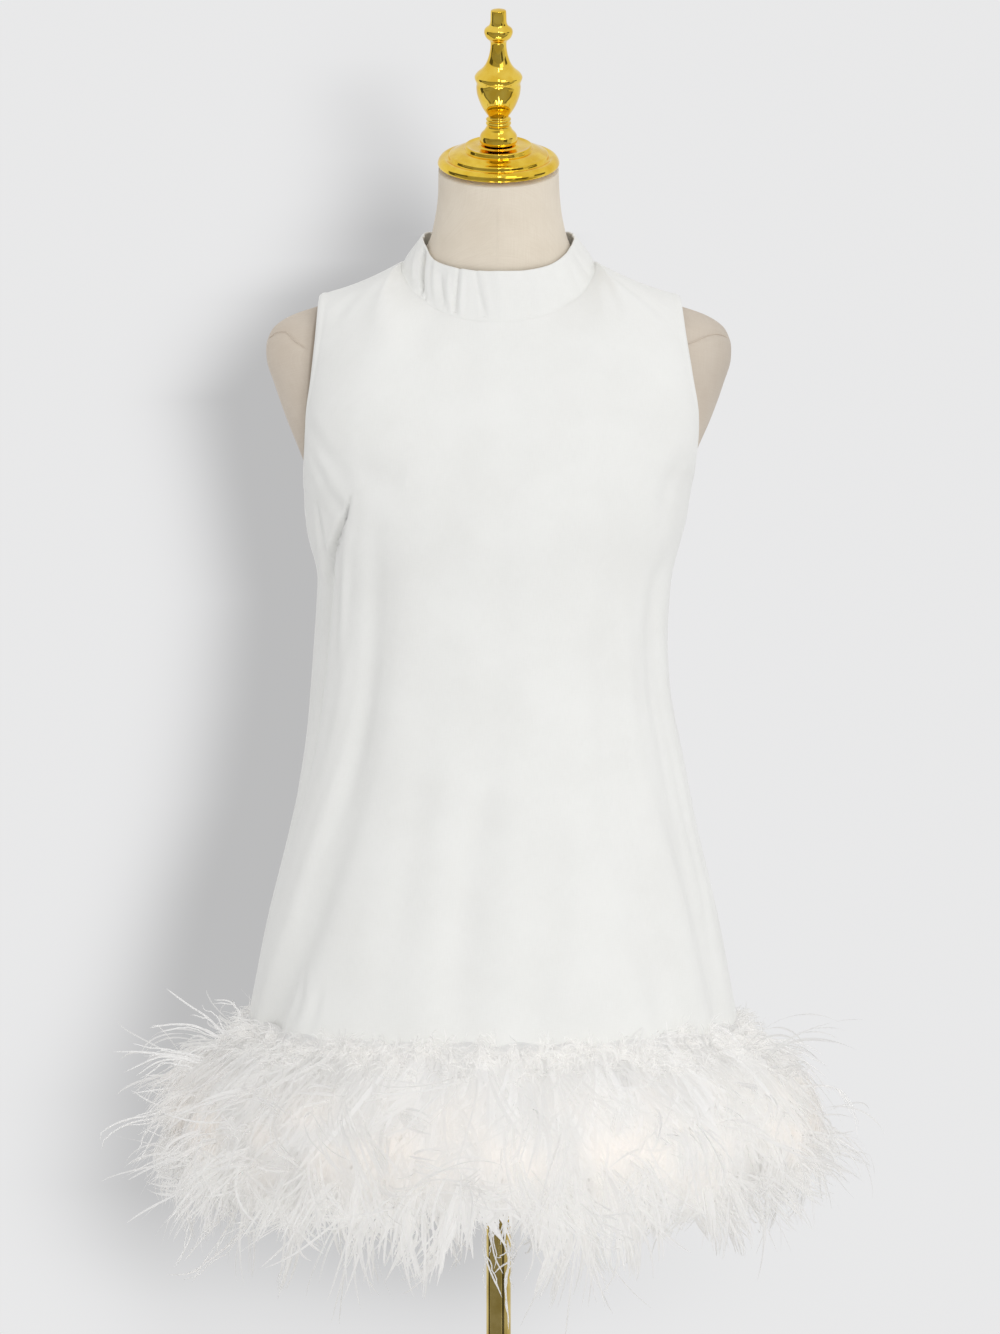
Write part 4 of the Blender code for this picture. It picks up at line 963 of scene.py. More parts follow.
def collar_turn(px, edge):
    """The turn at which an edge of the collar shows at a pixel across the frame."""
    fine = np.radians(np.linspace(-88, 88, 705))
    across = to_pixel(collar_edge(edge, fine))[:, 0]
    return math.degrees(np.interp(px, across, fine))


def under_neckline(faces, turn, down):
    """Points on the dress a little below its neckline, at turns round the neck, with the normals there."""
    found, normals = [], []
    for t in (np.degrees(turn) + 180) % 360 - 180:
        if abs(t) <= NECK_TURN:
            face, at = "front", t / NECK_TURN * NECK_SHARE
        else:
            face = "left" if t < 0 else "right"
            at = math.copysign((180 - abs(t)) / (180 - NECK_TURN) * NECK_SHARE, t)
        grid, normal, u = faces[face]
        k = int(np.clip(np.searchsorted(u, at) - 1, 0, len(u) - 2))
        f = np.clip((at - u[k]) / (u[k + 1] - u[k]), 0, 1)
        column = (grid[-8:, k] * (1 - f) + grid[-8:, k + 1] * f)[::-1]
        facing = (normal[-8:, k] * (1 - f) + normal[-8:, k + 1] * f)[::-1]
        run = np.concatenate([[0], np.cumsum(np.linalg.norm(np.diff(column, axis=0), axis=1))])
        found.append([np.interp(down, run, column[:, c]) for c in range(3)])
        normals.append([np.interp(down, run, facing[:, c]) for c in range(3)])
    return np.array(found), unit(np.array(normals))


def collar(material, faces):
    """The stand collar: a doubled band, folded over at its top, seamed to the dress, open at centre back."""
    gap = SEAM_GAP / 2 / COLLAR_EDGES["lower"]["depth"]
    columns, rows = 420, 17
    turn = np.linspace(math.pi + gap, 3 * math.pi - gap, columns + 1)
    low, high = collar_edge("lower", turn), collar_edge("upper", turn)
    corner = (np.degrees(turn) + 180) % 360 - 180
    high = high - np.array([0, 0, 1.0]) * (0.0026 * np.exp(-(((corner + 58.0) / 13.0) ** 2)))[..., None]
    share = np.linspace(0, 1, rows)[:, None, None]
    grid = low + (high - low) * share
    middle = np.zeros_like(grid)
    middle[..., 1], middle[..., 2] = -0.0125, grid[..., 2]
    normal = grid_normals(grid, middle)
    for edge in (0, -1):
        normal[:, edge, 0] = 0
    normal = unit(normal)
    t = share[..., 0]
    degrees = (np.degrees(turn)[None, :] + 180) % 360 - 180
    radius = 0.070
    push = np.zeros(grid.shape[:2])
    pleats = [(collar_turn(a, "lower"), collar_turn(b, "upper"), *rest) for a, b, *rest in COLLAR_FRONT_PLEATS]
    for low_turn, high_turn, width, depth, reach in (*pleats, *COLLAR_PLEATS):
        at = low_turn + (high_turn - low_turn) * t
        away = np.radians((degrees - at + 180) % 360 - 180) * radius / width
        rise = np.clip(1 - np.clip(t - reach, 0, 1) / 0.25, 0, 1) * (0.75 + 0.25 * np.cos((t - 0.35) * 4))
        push -= depth * np.exp(-(away**2)) * rise
    wobble = np.radians(degrees)
    push += 0.00030 * np.sin(wobble * 13 + 1.0) + 0.00018 * np.sin(wobble * 29 + t * 2)
    push += 0.0008 - 0.00055 * np.exp(-((t / 0.10) ** 2))
    # the deep fold at the left, widest two thirds of the way up
    fold = collar_turn(424.7, "lower") + (collar_turn(424.9, "upper") - collar_turn(424.7, "lower")) * t
    away = np.radians((degrees - fold + 180) % 360 - 180) * radius / (0.0013 + 0.0026 * np.clip(t / 0.85, 0, 1) ** 1.3)
    push -= 0.0080 * np.exp(-(away**2)) * np.clip((1.02 - t) / 0.16, 0, 1) * (0.40 + 0.60 * np.clip(t / 0.5, 0, 1))
    push += 0.0004 * np.exp(-(((t - 0.93) / 0.08) ** 2)) + 0.00016 * np.sin(wobble * 170) * np.exp(-((t / 0.12) ** 2))
    outer = grid + normal * push[..., None]
    thick = 0.0019
    inner = outer - normal * (0.0003 + (thick - 0.0003) * np.clip((t - 0.02) / 0.16, 0, 1))[..., None]
    # its lower edge curves out and lies on the top of the dress
    first = int(np.searchsorted(t[:, 0], 0.17))
    foot, facing = under_neckline(faces, turn, 0.0052)
    foot = foot + facing * 0.00016
    bend = []
    for k in np.linspace(0, 1, 10)[:-1]:
        bend.append((foot * (1 - k) ** 2 + outer[0] * 2 * k * (1 - k) + outer[first] * k**2))
    bend = np.array(bend)
    leaning = unit(facing * (1 - np.linspace(0, 1, 10)[:-1, None, None]) + normal[first] * np.linspace(0, 1, 10)[:-1, None, None])
    depth_in = np.linspace(0.00012, 0.0006, 9)[:, None, None]
    outer = np.concatenate([bend, outer[first:]])
    inner = np.concatenate([bend - leaning * depth_in, inner[first:]])
    up = unit(high - low)
    cap = []
    for angle in (35, 70, 110, 145):
        a = math.radians(angle)
        centre = (outer[-1] + inner[-1]) / 2
        cap.append(centre + normal[-1] * thick / 2 * math.cos(a) + up * 0.00135 * math.sin(a))
    loop = np.concatenate([outer, np.array(cap), inner[::-1]])
    count = len(loop)
    points = loop.reshape(-1, 3)
    quads = quad_strip(count, columns + 1)
    r = np.arange(columns)
    bottom = (count - 1) * (columns + 1)
    closing = np.stack([bottom + r, bottom + r + 1, r + 1, r], -1)
    ends = []
    for col in (0, columns):
        for k in range(count // 2):
            a, b = k * (columns + 1) + col, (k + 1) * (columns + 1) + col
            c, d = (count - 2 - k) * (columns + 1) + col, (count - 1 - k) * (columns + 1) + col
            if k < count // 2 - 1 or count % 2 == 0:
                if len({a, b, c, d}) == 4:
                    ends.append((a, b, c, d) if col else (d, c, b, a))
    quads = np.concatenate([quads, closing, np.array(ends)])
    quads = outward_volume(points, quads)
    mesh = raw_mesh("collar_cloth", points, quads)
    mesh.set_sharp_from_angle(angle=math.radians(50))
    across = np.cumsum(np.concatenate([[0], np.linalg.norm(np.diff(low, axis=0), axis=1)]))
    down = np.cumsum(np.concatenate([[0], np.linalg.norm(np.diff(loop[:, 0], axis=0), axis=1)]))
    uv = np.stack(np.broadcast_arrays(across[None, :], down[:, None]), -1).reshape(-1, 2)
    set_uv(mesh, uv)
    return add("collar_cloth", mesh, material, replaces=["collar_band"])


def outward_volume(points, quads):
    a, b, c, d = (points[quads[:, k]] for k in range(4))
    volume = ((a * np.cross(b, c)).sum() + (a * np.cross(c, d)).sum()) / 6
    return quads if volume > 0 else quads[:, ::-1]


def cord(name, line, radius, material, sides=6, slot=None, flat=1.0, up=None):
    """A thin closed cord along a line of points."""
    line = np.asarray(line, float)
    ahead = unit(np.gradient(line, axis=0))
    guide = np.broadcast_to(np.array([0.0, 0.0, 1.0]) if up is None else up, line.shape)
    side = unit(np.cross(ahead, guide))
    over = unit(np.cross(side, ahead))
    turn = np.linspace(0, 2 * math.pi, sides + 1)[:-1]
    size = np.full(len(line), radius)
    size[0] = size[-1] = radius * 0.35
    ring = (
        line[:, None]
        + side[:, None] * (np.cos(turn)[None, :, None] * size[:, None, None])
        + over[:, None] * (np.sin(turn)[None, :, None] * size[:, None, None] * flat)
    )
    points = ring.reshape(-1, 3)
    i, j = np.meshgrid(np.arange(len(line) - 1), np.arange(sides), indexing="ij")
    k = (j + 1) % sides
    quads = np.stack([i * sides + j, (i + 1) * sides + j, (i + 1) * sides + k, i * sides + k], -1).reshape(-1, 4)
    fans = []
    last = (len(line) - 1) * sides
    for m in range(1, sides - 1):
        fans.append((0, m, m + 1))
        fans.append((last, last + m + 1, last + m))
    length = np.concatenate([[0], np.cumsum(np.linalg.norm(np.diff(line, axis=0), axis=1))])
    uv = np.stack(np.broadcast_arrays(length[:, None], turn[None, :] * radius), -1).reshape(-1, 2)
    return points, quads, np.array(fans), uv


def joined(name, parts, material, body="figure", replaces=()):
    """Several cords as one piece."""
    points, quads, tris, uvs, start = [], [], [], [], 0
    for p, q, t, uv in parts:
        points.append(p)
        quads.append(q + start)
        tris.append(t + start)
        uvs.append(uv)
        start += len(p)
    mesh = raw_mesh(name, np.concatenate(points), np.concatenate(quads), np.concatenate(tris))
    set_uv(mesh, np.concatenate(uvs))
    return add(name, mesh, material, body=body, replaces=replaces)


# ================================ the dress form ================================
# Seams and tucks of the arm ends, along pixels of the frame
STUB_SEAMS = (
    ((267.5, 336), (275, 332.5), (284, 331.5), (294, 339), (306, 349)),
    ((731, 336), (722, 334), (712, 334.2), (698, 338.5), (686, 345)),
)


def dress_form(material):
    rows_z = np.concatenate(
        [np.linspace(0.760, 1.190, 30)[:-1], np.linspace(1.190, 1.372, 92)[:-1], np.linspace(1.372, 1.4622, 46)]
    )
    around = 232
    turn = np.linspace(0, 2 * math.pi, around + 1)[:-1]
    mid_y, tilt, half, front, back, square = np.moveaxis(smooth(FORM, rows_z), -1, 0)
    rows = []
    for k, z in enumerate(rows_z):
        x, y, _, _ = section(turn, half[k], half[k], front[k], back[k], square[k])
        lean = math.radians(tilt[k])
        rows.append(np.stack([x, mid_y[k] + y * math.cos(lean), z + y * math.sin(lean)], -1))
    grid = np.array(rows)
    closed = np.concatenate([grid, grid[:, :1]], 1)
    spine = np.zeros_like(closed)
    spine[..., 2] = closed[..., 2]
    normal = grid_normals(closed, spine)
    normal[:, 0] = normal[:, -1] = unit(normal[:, 0] + normal[:, -1])
    push = np.zeros(closed.shape[:2])
    seams = []
    for k, path in enumerate(STUB_SEAMS):
        found = surface_at_pixels(closed, normal, path)
        line = fine_line(found, 0.002)
        dist, share, _, _ = near_line(closed, line)
        inside = np.clip(np.minimum(share, 1 - share) * 30 + 0.4, 0, 1)
        above = (closed[..., 2] > line[:, 2].mean() - 0.02).astype(float)
        push -= 0.0010 * np.exp(-((dist / 0.0032) ** 2)) * inside
        lifted = line + np.array([0, 0, 0.0062])
        dist_up, _, _, _ = near_line(closed, lifted)
        push -= 0.0020 * np.exp(-((dist_up / 0.0042) ** 2)) * inside * above
        push += 0.0009 * np.exp(-(((dist - 0.0060) / 0.0030) ** 2)) * inside * (1 - above * 0.4)
        seams.append(line)
    # the linen is pulled a little unevenly over the padding
    x, y, z = np.moveaxis(closed, -1, 0)
    angle = np.arctan2(x, -y)
    push += 0.00035 * np.sin(angle * 7 + z * 31) + 0.0002 * np.sin(angle * 15 - z * 57)
    push = np.where((z > 1.20)[...], push, 0)
    push[:, -1] = push[:, 0]
    closed = closed + normal * push[..., None]
    grid = closed[:, :-1]
    count = len(rows_z)
    i, j = np.meshgrid(np.arange(count - 1), np.arange(around), indexing="ij")
    k = (j + 1) % around
    quads = np.stack([i * around + j, i * around + k, (i + 1) * around + k, (i + 1) * around + j], -1).reshape(-1, 4)
    points = grid.reshape(-1, 3)
    top, bottom = grid[-1].mean(0), grid[0].mean(0)
    points = np.concatenate([points, [bottom, top]])
    j = np.arange(around)
    k = (j + 1) % around
    tris = np.concatenate(
        [
            np.stack([np.full(around, count * around), k, j], -1),
            np.stack([np.full(around, count * around + 1), (count - 1) * around + j, (count - 1) * around + k], -1),
        ]
    )
    mesh = raw_mesh("form_linen", points, quads, tris)
    # the weave runs round and up the form
    over = np.linalg.norm(np.diff(closed, axis=1), axis=-1)
    across = np.concatenate([np.zeros((count, 1)), np.cumsum(over, 1)], 1)[:, :-1]
    up = np.linalg.norm(np.diff(grid, axis=0), axis=-1)
    along = np.concatenate([np.zeros((1, around)), np.cumsum(up, 0)], 0)
    uv = np.concatenate([np.stack([across, along], -1).reshape(-1, 2), [[0, 0], [0, 0]]])
    set_uv(mesh, uv)
    made = add("form_linen", mesh, material, replaces=["form_body"])
    return made, seams, closed, normal


def form_seams(seams, closed, normal, material):
    """The stitched seams of the arm caps, in front and behind on each stub."""
    parts = []
    for side in (-1, 1):
        # The seen stretch is measured; behind, the seam runs on round the stub at the same height.
        seen = seams[0 if side < 0 else 1]
        seen = seen[np.argsort(-seen[:, 1] * 1.0)]
        back = np.stack([seen[:, 0], -seen[:, 1] * 0.96, seen[:, 2]], -1)
        flat, n = closed.reshape(-1, 3), normal.reshape(-1, 3)
        lines = [seams[0 if side < 0 else 1]]
        snapped = []
        for p in seams[0 if side < 0 else 1] * np.array([1, -1, 1]):
            snapped.append(flat[np.argmin(((flat - p) ** 2).sum(-1))])
        lines.append(fine_line(np.array(snapped)[::6], 0.002))
        for line in lines:
            near = np.array([np.argmin(((flat - p) ** 2).sum(-1)) for p in line])
            parts.append(cord("seam", line - n[near] * 0.0003, 0.00030, material, sides=6))
    return joined("form_seam_thread", parts, material)


# ================================ feathers ================================
def body_radius(turn, z):
    """Distance from the axis to the dress at a turn, above the hem."""
    left, right, front, back, square = np.moveaxis(smooth(RINGS, z), -1, 0)
    s, c = np.sin(turn), np.cos(turn)
    a = np.where(s < 0, left, right)
    b = np.where(c > 0, front, back)
    r = (np.abs(s / a) ** square + np.abs(c / b) ** square) ** (-1 / square)
    return r - 0.6 * fold_depth(turn, z, r)


# The soft body of the trim: height, how far it stands out from the dress in front and at the sides
TRIM_BODY = (
    (0.6180, 0.018, 0.024),
    (0.6320, 0.029, 0.038),
    (0.6500, 0.037, 0.047),
    (0.6700, 0.042, 0.052),
    (0.6900, 0.042, 0.052),
    (0.7080, 0.038, 0.048),
    (0.7240, 0.030, 0.040),
    (0.7380, 0.019, 0.028),
    (0.7480, 0.009, 0.014),
    (0.7560, 0.002, 0.004),
    (0.7640, 0.0006, 0.001),
)


def on_trim(turn, z, share, lift=0.0):
    """Points at a share of the trim's depth, at a turn and a height."""
    table = np.array(TRIM_BODY)
    side = np.abs(np.sin(turn)) ** 1.5
    reach = np.interp(z, table[:, 0], table[:, 1]) * (1 - side) + np.interp(z, table[:, 0], table[:, 2]) * side
    radius = body_radius(turn, np.clip(z, HEM_Z, 1.0)) + 0.0014 + reach * share + lift
    return np.stack([radius * np.sin(turn), -radius * np.cos(turn), z], -1)


def outward_heading(root, yaw):
    """Level direction away from the dress at each root, turned by yaw."""
    turn = np.arctan2(root[:, 0], -root[:, 1])
    left, right, front, back, square = np.moveaxis(smooth(RINGS, np.clip(root[:, 2], HEM_Z, None)), -1, 0)
    _, _, nx, ny = section(turn, left, right, front, back, square)
    flat = np.zeros(len(root))
    out = unit(np.stack([np.sin(turn), -np.cos(turn), flat], -1) * 0.4 + np.stack([nx, ny, flat], -1) * 0.6)
    over = np.stack([-out[:, 1], out[:, 0], flat], -1)
    return np.cos(yaw)[:, None] * out + np.sin(yaw)[:, None] * over


def grow(root, heading, lift, axis, curl, sag, length, steps):
    """Strands from root points: each leaves along its heading, lifted, curls about its own axis and sags with its weight.

    Curl is the turn in radians from root to tip; sag is the pull downwards over the same run.
    """
    up = np.array([0.0, 0.0, 1.0])
    position = root.copy()
    direction = np.cos(lift)[:, None] * heading + np.sin(lift)[:, None] * up
    step = (length / steps)[:, None]
    path = [position.copy()]
    for _ in range(steps):
        position = position + direction * step
        turn = np.arctan2(position[:, 0], -position[:, 1])
        z = position[:, 2]
        least = body_radius(turn, np.clip(z, HEM_Z, 1.0)) + 0.0016
        r = np.hypot(position[:, 0], position[:, 1])
        push = np.where((z > HEM_Z - 0.004) & (r < least), least / np.maximum(r, 1e-6), 1.0)
        position[:, :2] *= push[:, None]
        path.append(position.copy())
        direction = direction + np.cross(axis, direction) * (curl / steps)[:, None] - up * (sag / steps)[:, None]
        direction = unit(direction)
    path = np.stack(path, 1)
    # nothing goes past the trim's reach
    reach = np.maximum(np.abs(path[..., 0]) / REACH_X, np.abs(path[..., 1]) / REACH_Y)
    held = np.where(reach > 0.88, 0.88 + 0.11 * np.tanh(np.clip(reach - 0.88, 0, None) / 0.11), reach)
    path[..., :2] *= (held / np.maximum(reach, 1e-6))[..., None]
    return path


def ribbons(path, width, roll):
    """Flat barbs along paths: points, quads and how far along each point is."""
    n, k = path.shape[:2]
    ahead = unit(np.gradient(path, axis=1))
    out = path.copy()
    out[..., 2] = 0
    out = unit(out)
    side = unit(np.cross(ahead, out) + 1e-6)
    other = unit(np.cross(side, ahead))
    side = side * np.cos(roll)[:, None, None] + other * np.sin(roll)[:, None, None]
    s = np.linspace(0, 1, k)
    swell = np.interp(s, [0, 0.06, 0.35, 0.75, 0.93, 1], [0.55, 0.8, 1.0, 0.85, 0.5, 0.16])
    half = 0.5 * width[:, None] * swell[None]
    left, right = path - side * half[..., None], path + side * half[..., None]
    points = np.stack([left, right], 2).reshape(-1, 3)
    i, j = np.meshgrid(np.arange(n), np.arange(k - 1), indexing="ij")
    a = (i * k + j) * 2
    quads = np.stack([a, a + 1, a + 3, a + 2], -1).reshape(-1, 4)
    along = np.repeat(np.broadcast_to(s, (n, k))[..., None], 2, 2).reshape(-1)
    return points, quads, along


def tubes(path, width, sides=3):
    """Three-sided barbs along paths, round enough to be seen from all sides."""
    n, k = path.shape[:2]
    ahead = unit(np.gradient(path, axis=1))
    side = unit(np.cross(ahead, np.array([0.1, 0.97, 0.22])) + 1e-9)
    other = np.cross(side, ahead)
    s = np.linspace(0, 1, k)
    swell = np.interp(s, [0, 0.05, 0.3, 0.8, 0.94, 1], [0.6, 0.85, 1.0, 0.85, 0.55, 0.15])
    half = 0.5 * width[:, None] * swell[None]
    turn = np.linspace(0, 2 * math.pi, sides + 1)[:-1]
    ring = (
        path[:, :, None]
        + side[:, :, None] * (np.cos(turn) * half[..., None])[..., None]
        + other[:, :, None] * (np.sin(turn) * half[..., None])[..., None]
    )
    points = ring.reshape(-1, 3)
    i, j, m = np.meshgrid(np.arange(n), np.arange(k - 1), np.arange(sides), indexing="ij")
    q = (m + 1) % sides
    a = (i * k + j) * sides
    quads = np.stack([a + m, a + sides + m, a + sides + q, a + q], -1).reshape(-1, 4)
    along = np.repeat(np.broadcast_to(s, (n, k))[..., None], sides, 2).reshape(-1)
    return points, quads, along


# Single long barbs that stand clear at the left, and across the pole, along pixels of the frame, tip last:
# depth in metres, width in millimetres, path
SINGLE_BARBS = (
    (-0.020, 1.35, ((243, 1040), (222, 1031), (208, 1018), (188, 1005), (166, 989))),
    (-0.010, 1.25, ((228, 1042), (213, 1034), (196, 1025), (173, 1023), (151, 1026))),
    (-0.030, 1.55, ((277, 1071), (233, 1066), (198, 1060), (168, 1055), (141, 1052), (113, 1052))),
    (-0.028, 1.25, ((262, 1072), (213, 1068), (183, 1058), (159, 1056), (144, 1062), (125, 1071))),
    (-0.024, 1.25, ((250, 1074), (213, 1068), (183, 1059), (159, 1061), (137, 1075))),
    (-0.010, 1.15, ((236, 1070), (205, 1060), (188, 1063), (168, 1078), (149, 1086))),
    (0.000, 1.15, ((236, 1098), (200, 1090), (183, 1086), (159, 1088), (134, 1091))),
    (0.006, 1.10, ((228, 1112), (190, 1112), (166, 1108), (149, 1101), (131, 1090))),
    (-0.020, 1.40, ((256, 1096), (215, 1096), (188, 1099), (168, 1106), (154, 1114), (127, 1119), (104, 1130), (93, 1140))),
    (-0.014, 1.30, ((250, 1108), (205, 1108), (180, 1112), (159, 1118), (131, 1123), (109, 1135), (96, 1149))),
    (-0.006, 1.30, ((210, 1098), (182, 1106), (164, 1118), (154, 1133), (145, 1151), (137, 1163))),
    (-0.034, 1.25, ((262, 1088), (236, 1108), (218, 1120), (203, 1133), (181, 1141), (159, 1135), (144, 1128))),
    (0.000, 1.20, ((214, 1100), (188, 1122), (174, 1140), (171, 1157), (163, 1172), (149, 1184))),
    (-0.020, 1.25, ((236, 1138), (213, 1158), (196, 1186), (193, 1197), (178, 1209), (166, 1221))),
    (-0.010, 1.25, ((258, 1190), (244, 1228), (230, 1244), (208, 1260), (193, 1271), (168, 1273))),
    (-0.030, 1.20, ((250, 1180), (226, 1214), (205, 1236), (190, 1254), (184, 1262))),
    (-0.020, 1.15, ((226, 1150), (205, 1180), (196, 1210), (189, 1240), (174, 1266))),
    (-0.050, 1.30, ((341, 1056), (331, 1037), (321, 1016), (307, 992), (294, 970))),
    (-0.060, 1.45, ((300, 1084), (289, 1091), (265, 1108), (254, 1116), (244, 1124))),
    (-0.055, 1.25, ((300, 1078), (272, 1078), (243, 1082), (223, 1093), (212, 1105))),
    (-0.045, 1.20, ((290, 1096), (250, 1092), (222, 1100), (200, 1118), (197, 1136))),
    (-0.020, 1.10, ((242, 1032), (240, 1015), (231, 1002), (214, 1000))),
    (-0.020, 1.15, ((250, 1052), (226, 1046), (206, 1046), (190, 1052), (176, 1066))),
    (-0.040, 1.20, ((300, 1060), (276, 1046), (258, 1046), (238, 1052))),
    (-0.060, 1.15, ((345, 1070), (330, 1052), (312, 1044), (290, 1043))),
    (0.020, 1.10, ((240, 1200), (222, 1236), (204, 1262), (192, 1283))),
    (0.030, 1.10, ((296, 1210), (292, 1244), (284, 1272), (278, 1298))),
    (-0.100, 1.30, ((493, 1196), (496, 1216), (498, 1228), (503, 1240), (507, 1252), (510, 1264))),
    (-0.100, 1.15, ((500, 1196), (503, 1210), (507, 1224), (511, 1236), (514, 1247))),
    (-0.110, 1.20, ((484, 1226), (485, 1246), (487, 1262), (493, 1278), (501, 1294))),
    (-0.105, 1.25, ((507, 1240), (509, 1262), (505, 1278), (506, 1298), (509, 1322))),
    (-0.100, 1.10, ((514, 1240), (510, 1262), (500, 1270), (494, 1278))),
    (-0.100, 1.05, ((489, 1214), (491, 1238), (495, 1258), (503, 1274))),
    (-0.080, 1.20, ((740, 1044), (722, 1028), (712, 1024), (700, 1034), (692, 1052))),
    (0.010, 1.25, ((690, 1052), (718, 1044), (752, 1040), (784, 1050), (812, 1066), (828, 1078))),
    (0.000, 1.15, ((700, 1056), (736, 1046), (770, 1040), (800, 1042), (822, 1054))),
    (0.010, 1.20, ((730, 1070), (766, 1072), (796, 1090), (812, 1122), (824, 1160))),
    (-0.040, 1.45, ((718, 1086), (742, 1090), (760, 1104), (770, 1126), (776, 1160), (770, 1196))),
    (-0.030, 1.20, ((742, 1062), (772, 1076), (788, 1104), (797, 1148), (796, 1190))),
    (0.012, 1.10, ((756, 1108), (800, 1122), (834, 1136), (858, 1150))),
    (0.010, 1.05, ((770, 1150), (802, 1160), (822, 1166), (836, 1164))),
    (0.020, 1.05, ((792, 1090), (836, 1088), (852, 1110), (856, 1136))),
)


def feathers(body_material, material, fluff_material, single_material):
    pieces = []

    def spaced(n, r):
        """Turns that are even round the hem by length, not by angle."""
        fine = np.linspace(-math.pi, math.pi, 2001)
        ring = body_point(fine, 0.72)
        run = np.concatenate([[0], np.cumsum(np.linalg.norm(np.diff(ring, axis=0), axis=1))])
        return np.interp((np.arange(n) + r.random(n)) / n * run[-1], run, fine)

    def toned(points, light, k, along, blush):
        deep = np.clip(1 - np.abs(points[:, 2] - 0.690) / 0.050, 0, 1) * blush
        return np.stack([np.repeat(light, k) * (0.90 + 0.10 * along), deep, along], -1)

    def vanes(count, each, seed, z_band, run, width, share, swing, steps, blush):
        """Barbs that lie over one another on the soft body of the trim, roots up, in tufts that swing together."""
        r = np.random.default_rng(seed)
        n = count * each
        idx = np.repeat(np.arange(count), each)
        turn = r.permutation(spaced(count, r))[idx] + r.normal(0, 0.022, n)
        top = (z_band[0] + (z_band[1] - z_band[0]) * r.random(count))[idx] + r.normal(0, 0.005, n)
        yaw = (swing * r.standard_normal(count))[idx] + 0.20 * r.standard_normal(n)
        swerve = (1.5 * swing * r.standard_normal(count))[idx] + 0.30 * r.standard_normal(n)
        length = (run[0] + (run[1] - run[0]) * r.random(count))[idx] * np.clip(1 + 0.2 * r.standard_normal(n), 0.5, 1.5)
        depth = (share[0] + (share[1] - share[0]) * r.random(count))[idx] + 0.05 * r.standard_normal(n)
        s = np.linspace(0, 1, steps + 1)
        middle = (s[1:] + s[:-1]) / 2
        way = yaw[:, None] + swerve[:, None] * middle[None]
        step = (length / steps)[:, None]
        zero = np.zeros((n, 1))
        z = top[:, None] - np.concatenate([zero, np.cumsum(np.cos(way) * step, 1)], 1)
        round_by = turn[:, None] + np.concatenate([zero, np.cumsum(np.sin(way) * step, 1)], 1) / 0.235
        lift = (0.0010 + 0.0020 * r.random(n))[:, None] * s[None] ** 2
        path = on_trim(round_by, z, np.clip(depth, 0.2, 1.15)[:, None], lift)
        w = (width[0] + (width[1] - width[0]) * r.random(n)) * 1e-3
        points, quads, along = ribbons(path, w, r.normal(0, 0.13, n))
        light = np.clip(0.70 + 0.16 * r.standard_normal(count)[idx] + 0.12 * r.standard_normal(n), 0, 1)
        return points, quads, toned(points, light, 2 * (steps + 1), along, blush)

    def plumes(count, each, seed, z_band, stand, lift, sag, curl, length, width, part, steps, blush, brush=0.5, swing=0.5, crowd=1.0, trimmed=0.0):
        """Clumps of barbs that leave a place together and part on their way.

        stand: how deep in the trim they start; lift: degrees above level in front, at the sides, and how much clumps
        differ; sag and curl: low and high; part: how far the barbs of one clump differ; brush: the share of clumps
        whose tips draw together; swing: how far clumps turn sideways; crowd: how much more of them start low in front; trimmed: how much shorter
        they are at the sides, most at the right.
        """
        r = np.random.default_rng(seed)
        turn = r.permutation(spaced(count, r))
        side = np.abs(np.sin(turn)) ** 1.5
        z = z_band[0] + (z_band[1] - z_band[0]) * r.random(count) ** (1 + (crowd - 1) * (1 - side))
        n = count * each
        idx = np.repeat(np.arange(count), each)
        place = on_trim(turn, z, stand[0] + (stand[1] - stand[0]) * r.random(count))
        base = np.radians(lift[0] + (lift[1] - lift[0]) * side + lift[2] * r.standard_normal(count))
        rise = base[idx] + np.radians(11) * part * r.standard_normal(n)
        yaw = (swing * r.standard_normal(count))[idx] + 0.17 * part * r.standard_normal(n)
        root = place[idx] + r.normal(0, 0.0022, (n, 3))
        heading = outward_heading(root, yaw)
        # one way of curling for a clump
        shared = unit(r.normal(0, 1, (count, 3)) * np.array([1.0, 1.0, 1.1]))
        axis = unit(shared[idx] + 0.30 * part * r.normal(0, 1, (n, 3)))
        turns = (curl[0] + (curl[1] - curl[0]) * r.random(count) ** 1.2)[idx] * np.clip(1 + 0.28 * r.standard_normal(n), 0.2, 2)
        fall = (sag[0] + (sag[1] - sag[0]) * r.random(count))[idx] * np.clip(1 + 0.15 * r.standard_normal(n), 0.5, 1.6)
        run = (length[0] + (length[1] - length[0]) * r.random(count))[idx] * np.clip(1 + 0.15 * r.standard_normal(n), 0.5, 1.3)
        run *= 1 - trimmed * (side * np.where(np.sin(turn) > 0, 1.0, 0.65))[idx]
        path = grow(root, heading, rise, axis, turns, fall, run, steps)
        s = np.linspace(0, 1, steps + 1)
        # tips that draw together like a wet brush
        tuft = path.reshape(count, each, steps + 1, 3)
        mean = tuft.mean(1, keepdims=True)
        draw = np.where(r.random(count) < brush, 0.45 + 0.35 * r.random(count), 0.0)
        tuft += (mean - tuft) * (draw[:, None] * s[None] ** 1.6)[:, None, :, None]
        path = tuft.reshape(n, steps + 1, 3)
        # a slight waviness of each barb
        phase, pitch = r.uniform(0, 6.3, (n, 3)), r.uniform(3, 8, (n, 3))
        path += 0.0009 * s[None, :, None] * np.sin(phase[:, None] + pitch[:, None] * s[None, :, None])
        w = (width[0] + (width[1] - width[0]) * r.random(n)) * 1e-3
        tilt = r.normal(0, 0.5, n)
        light = np.clip(0.70 + 0.18 * r.standard_normal(count)[idx] + 0.14 * r.standard_normal(n), 0, 1)
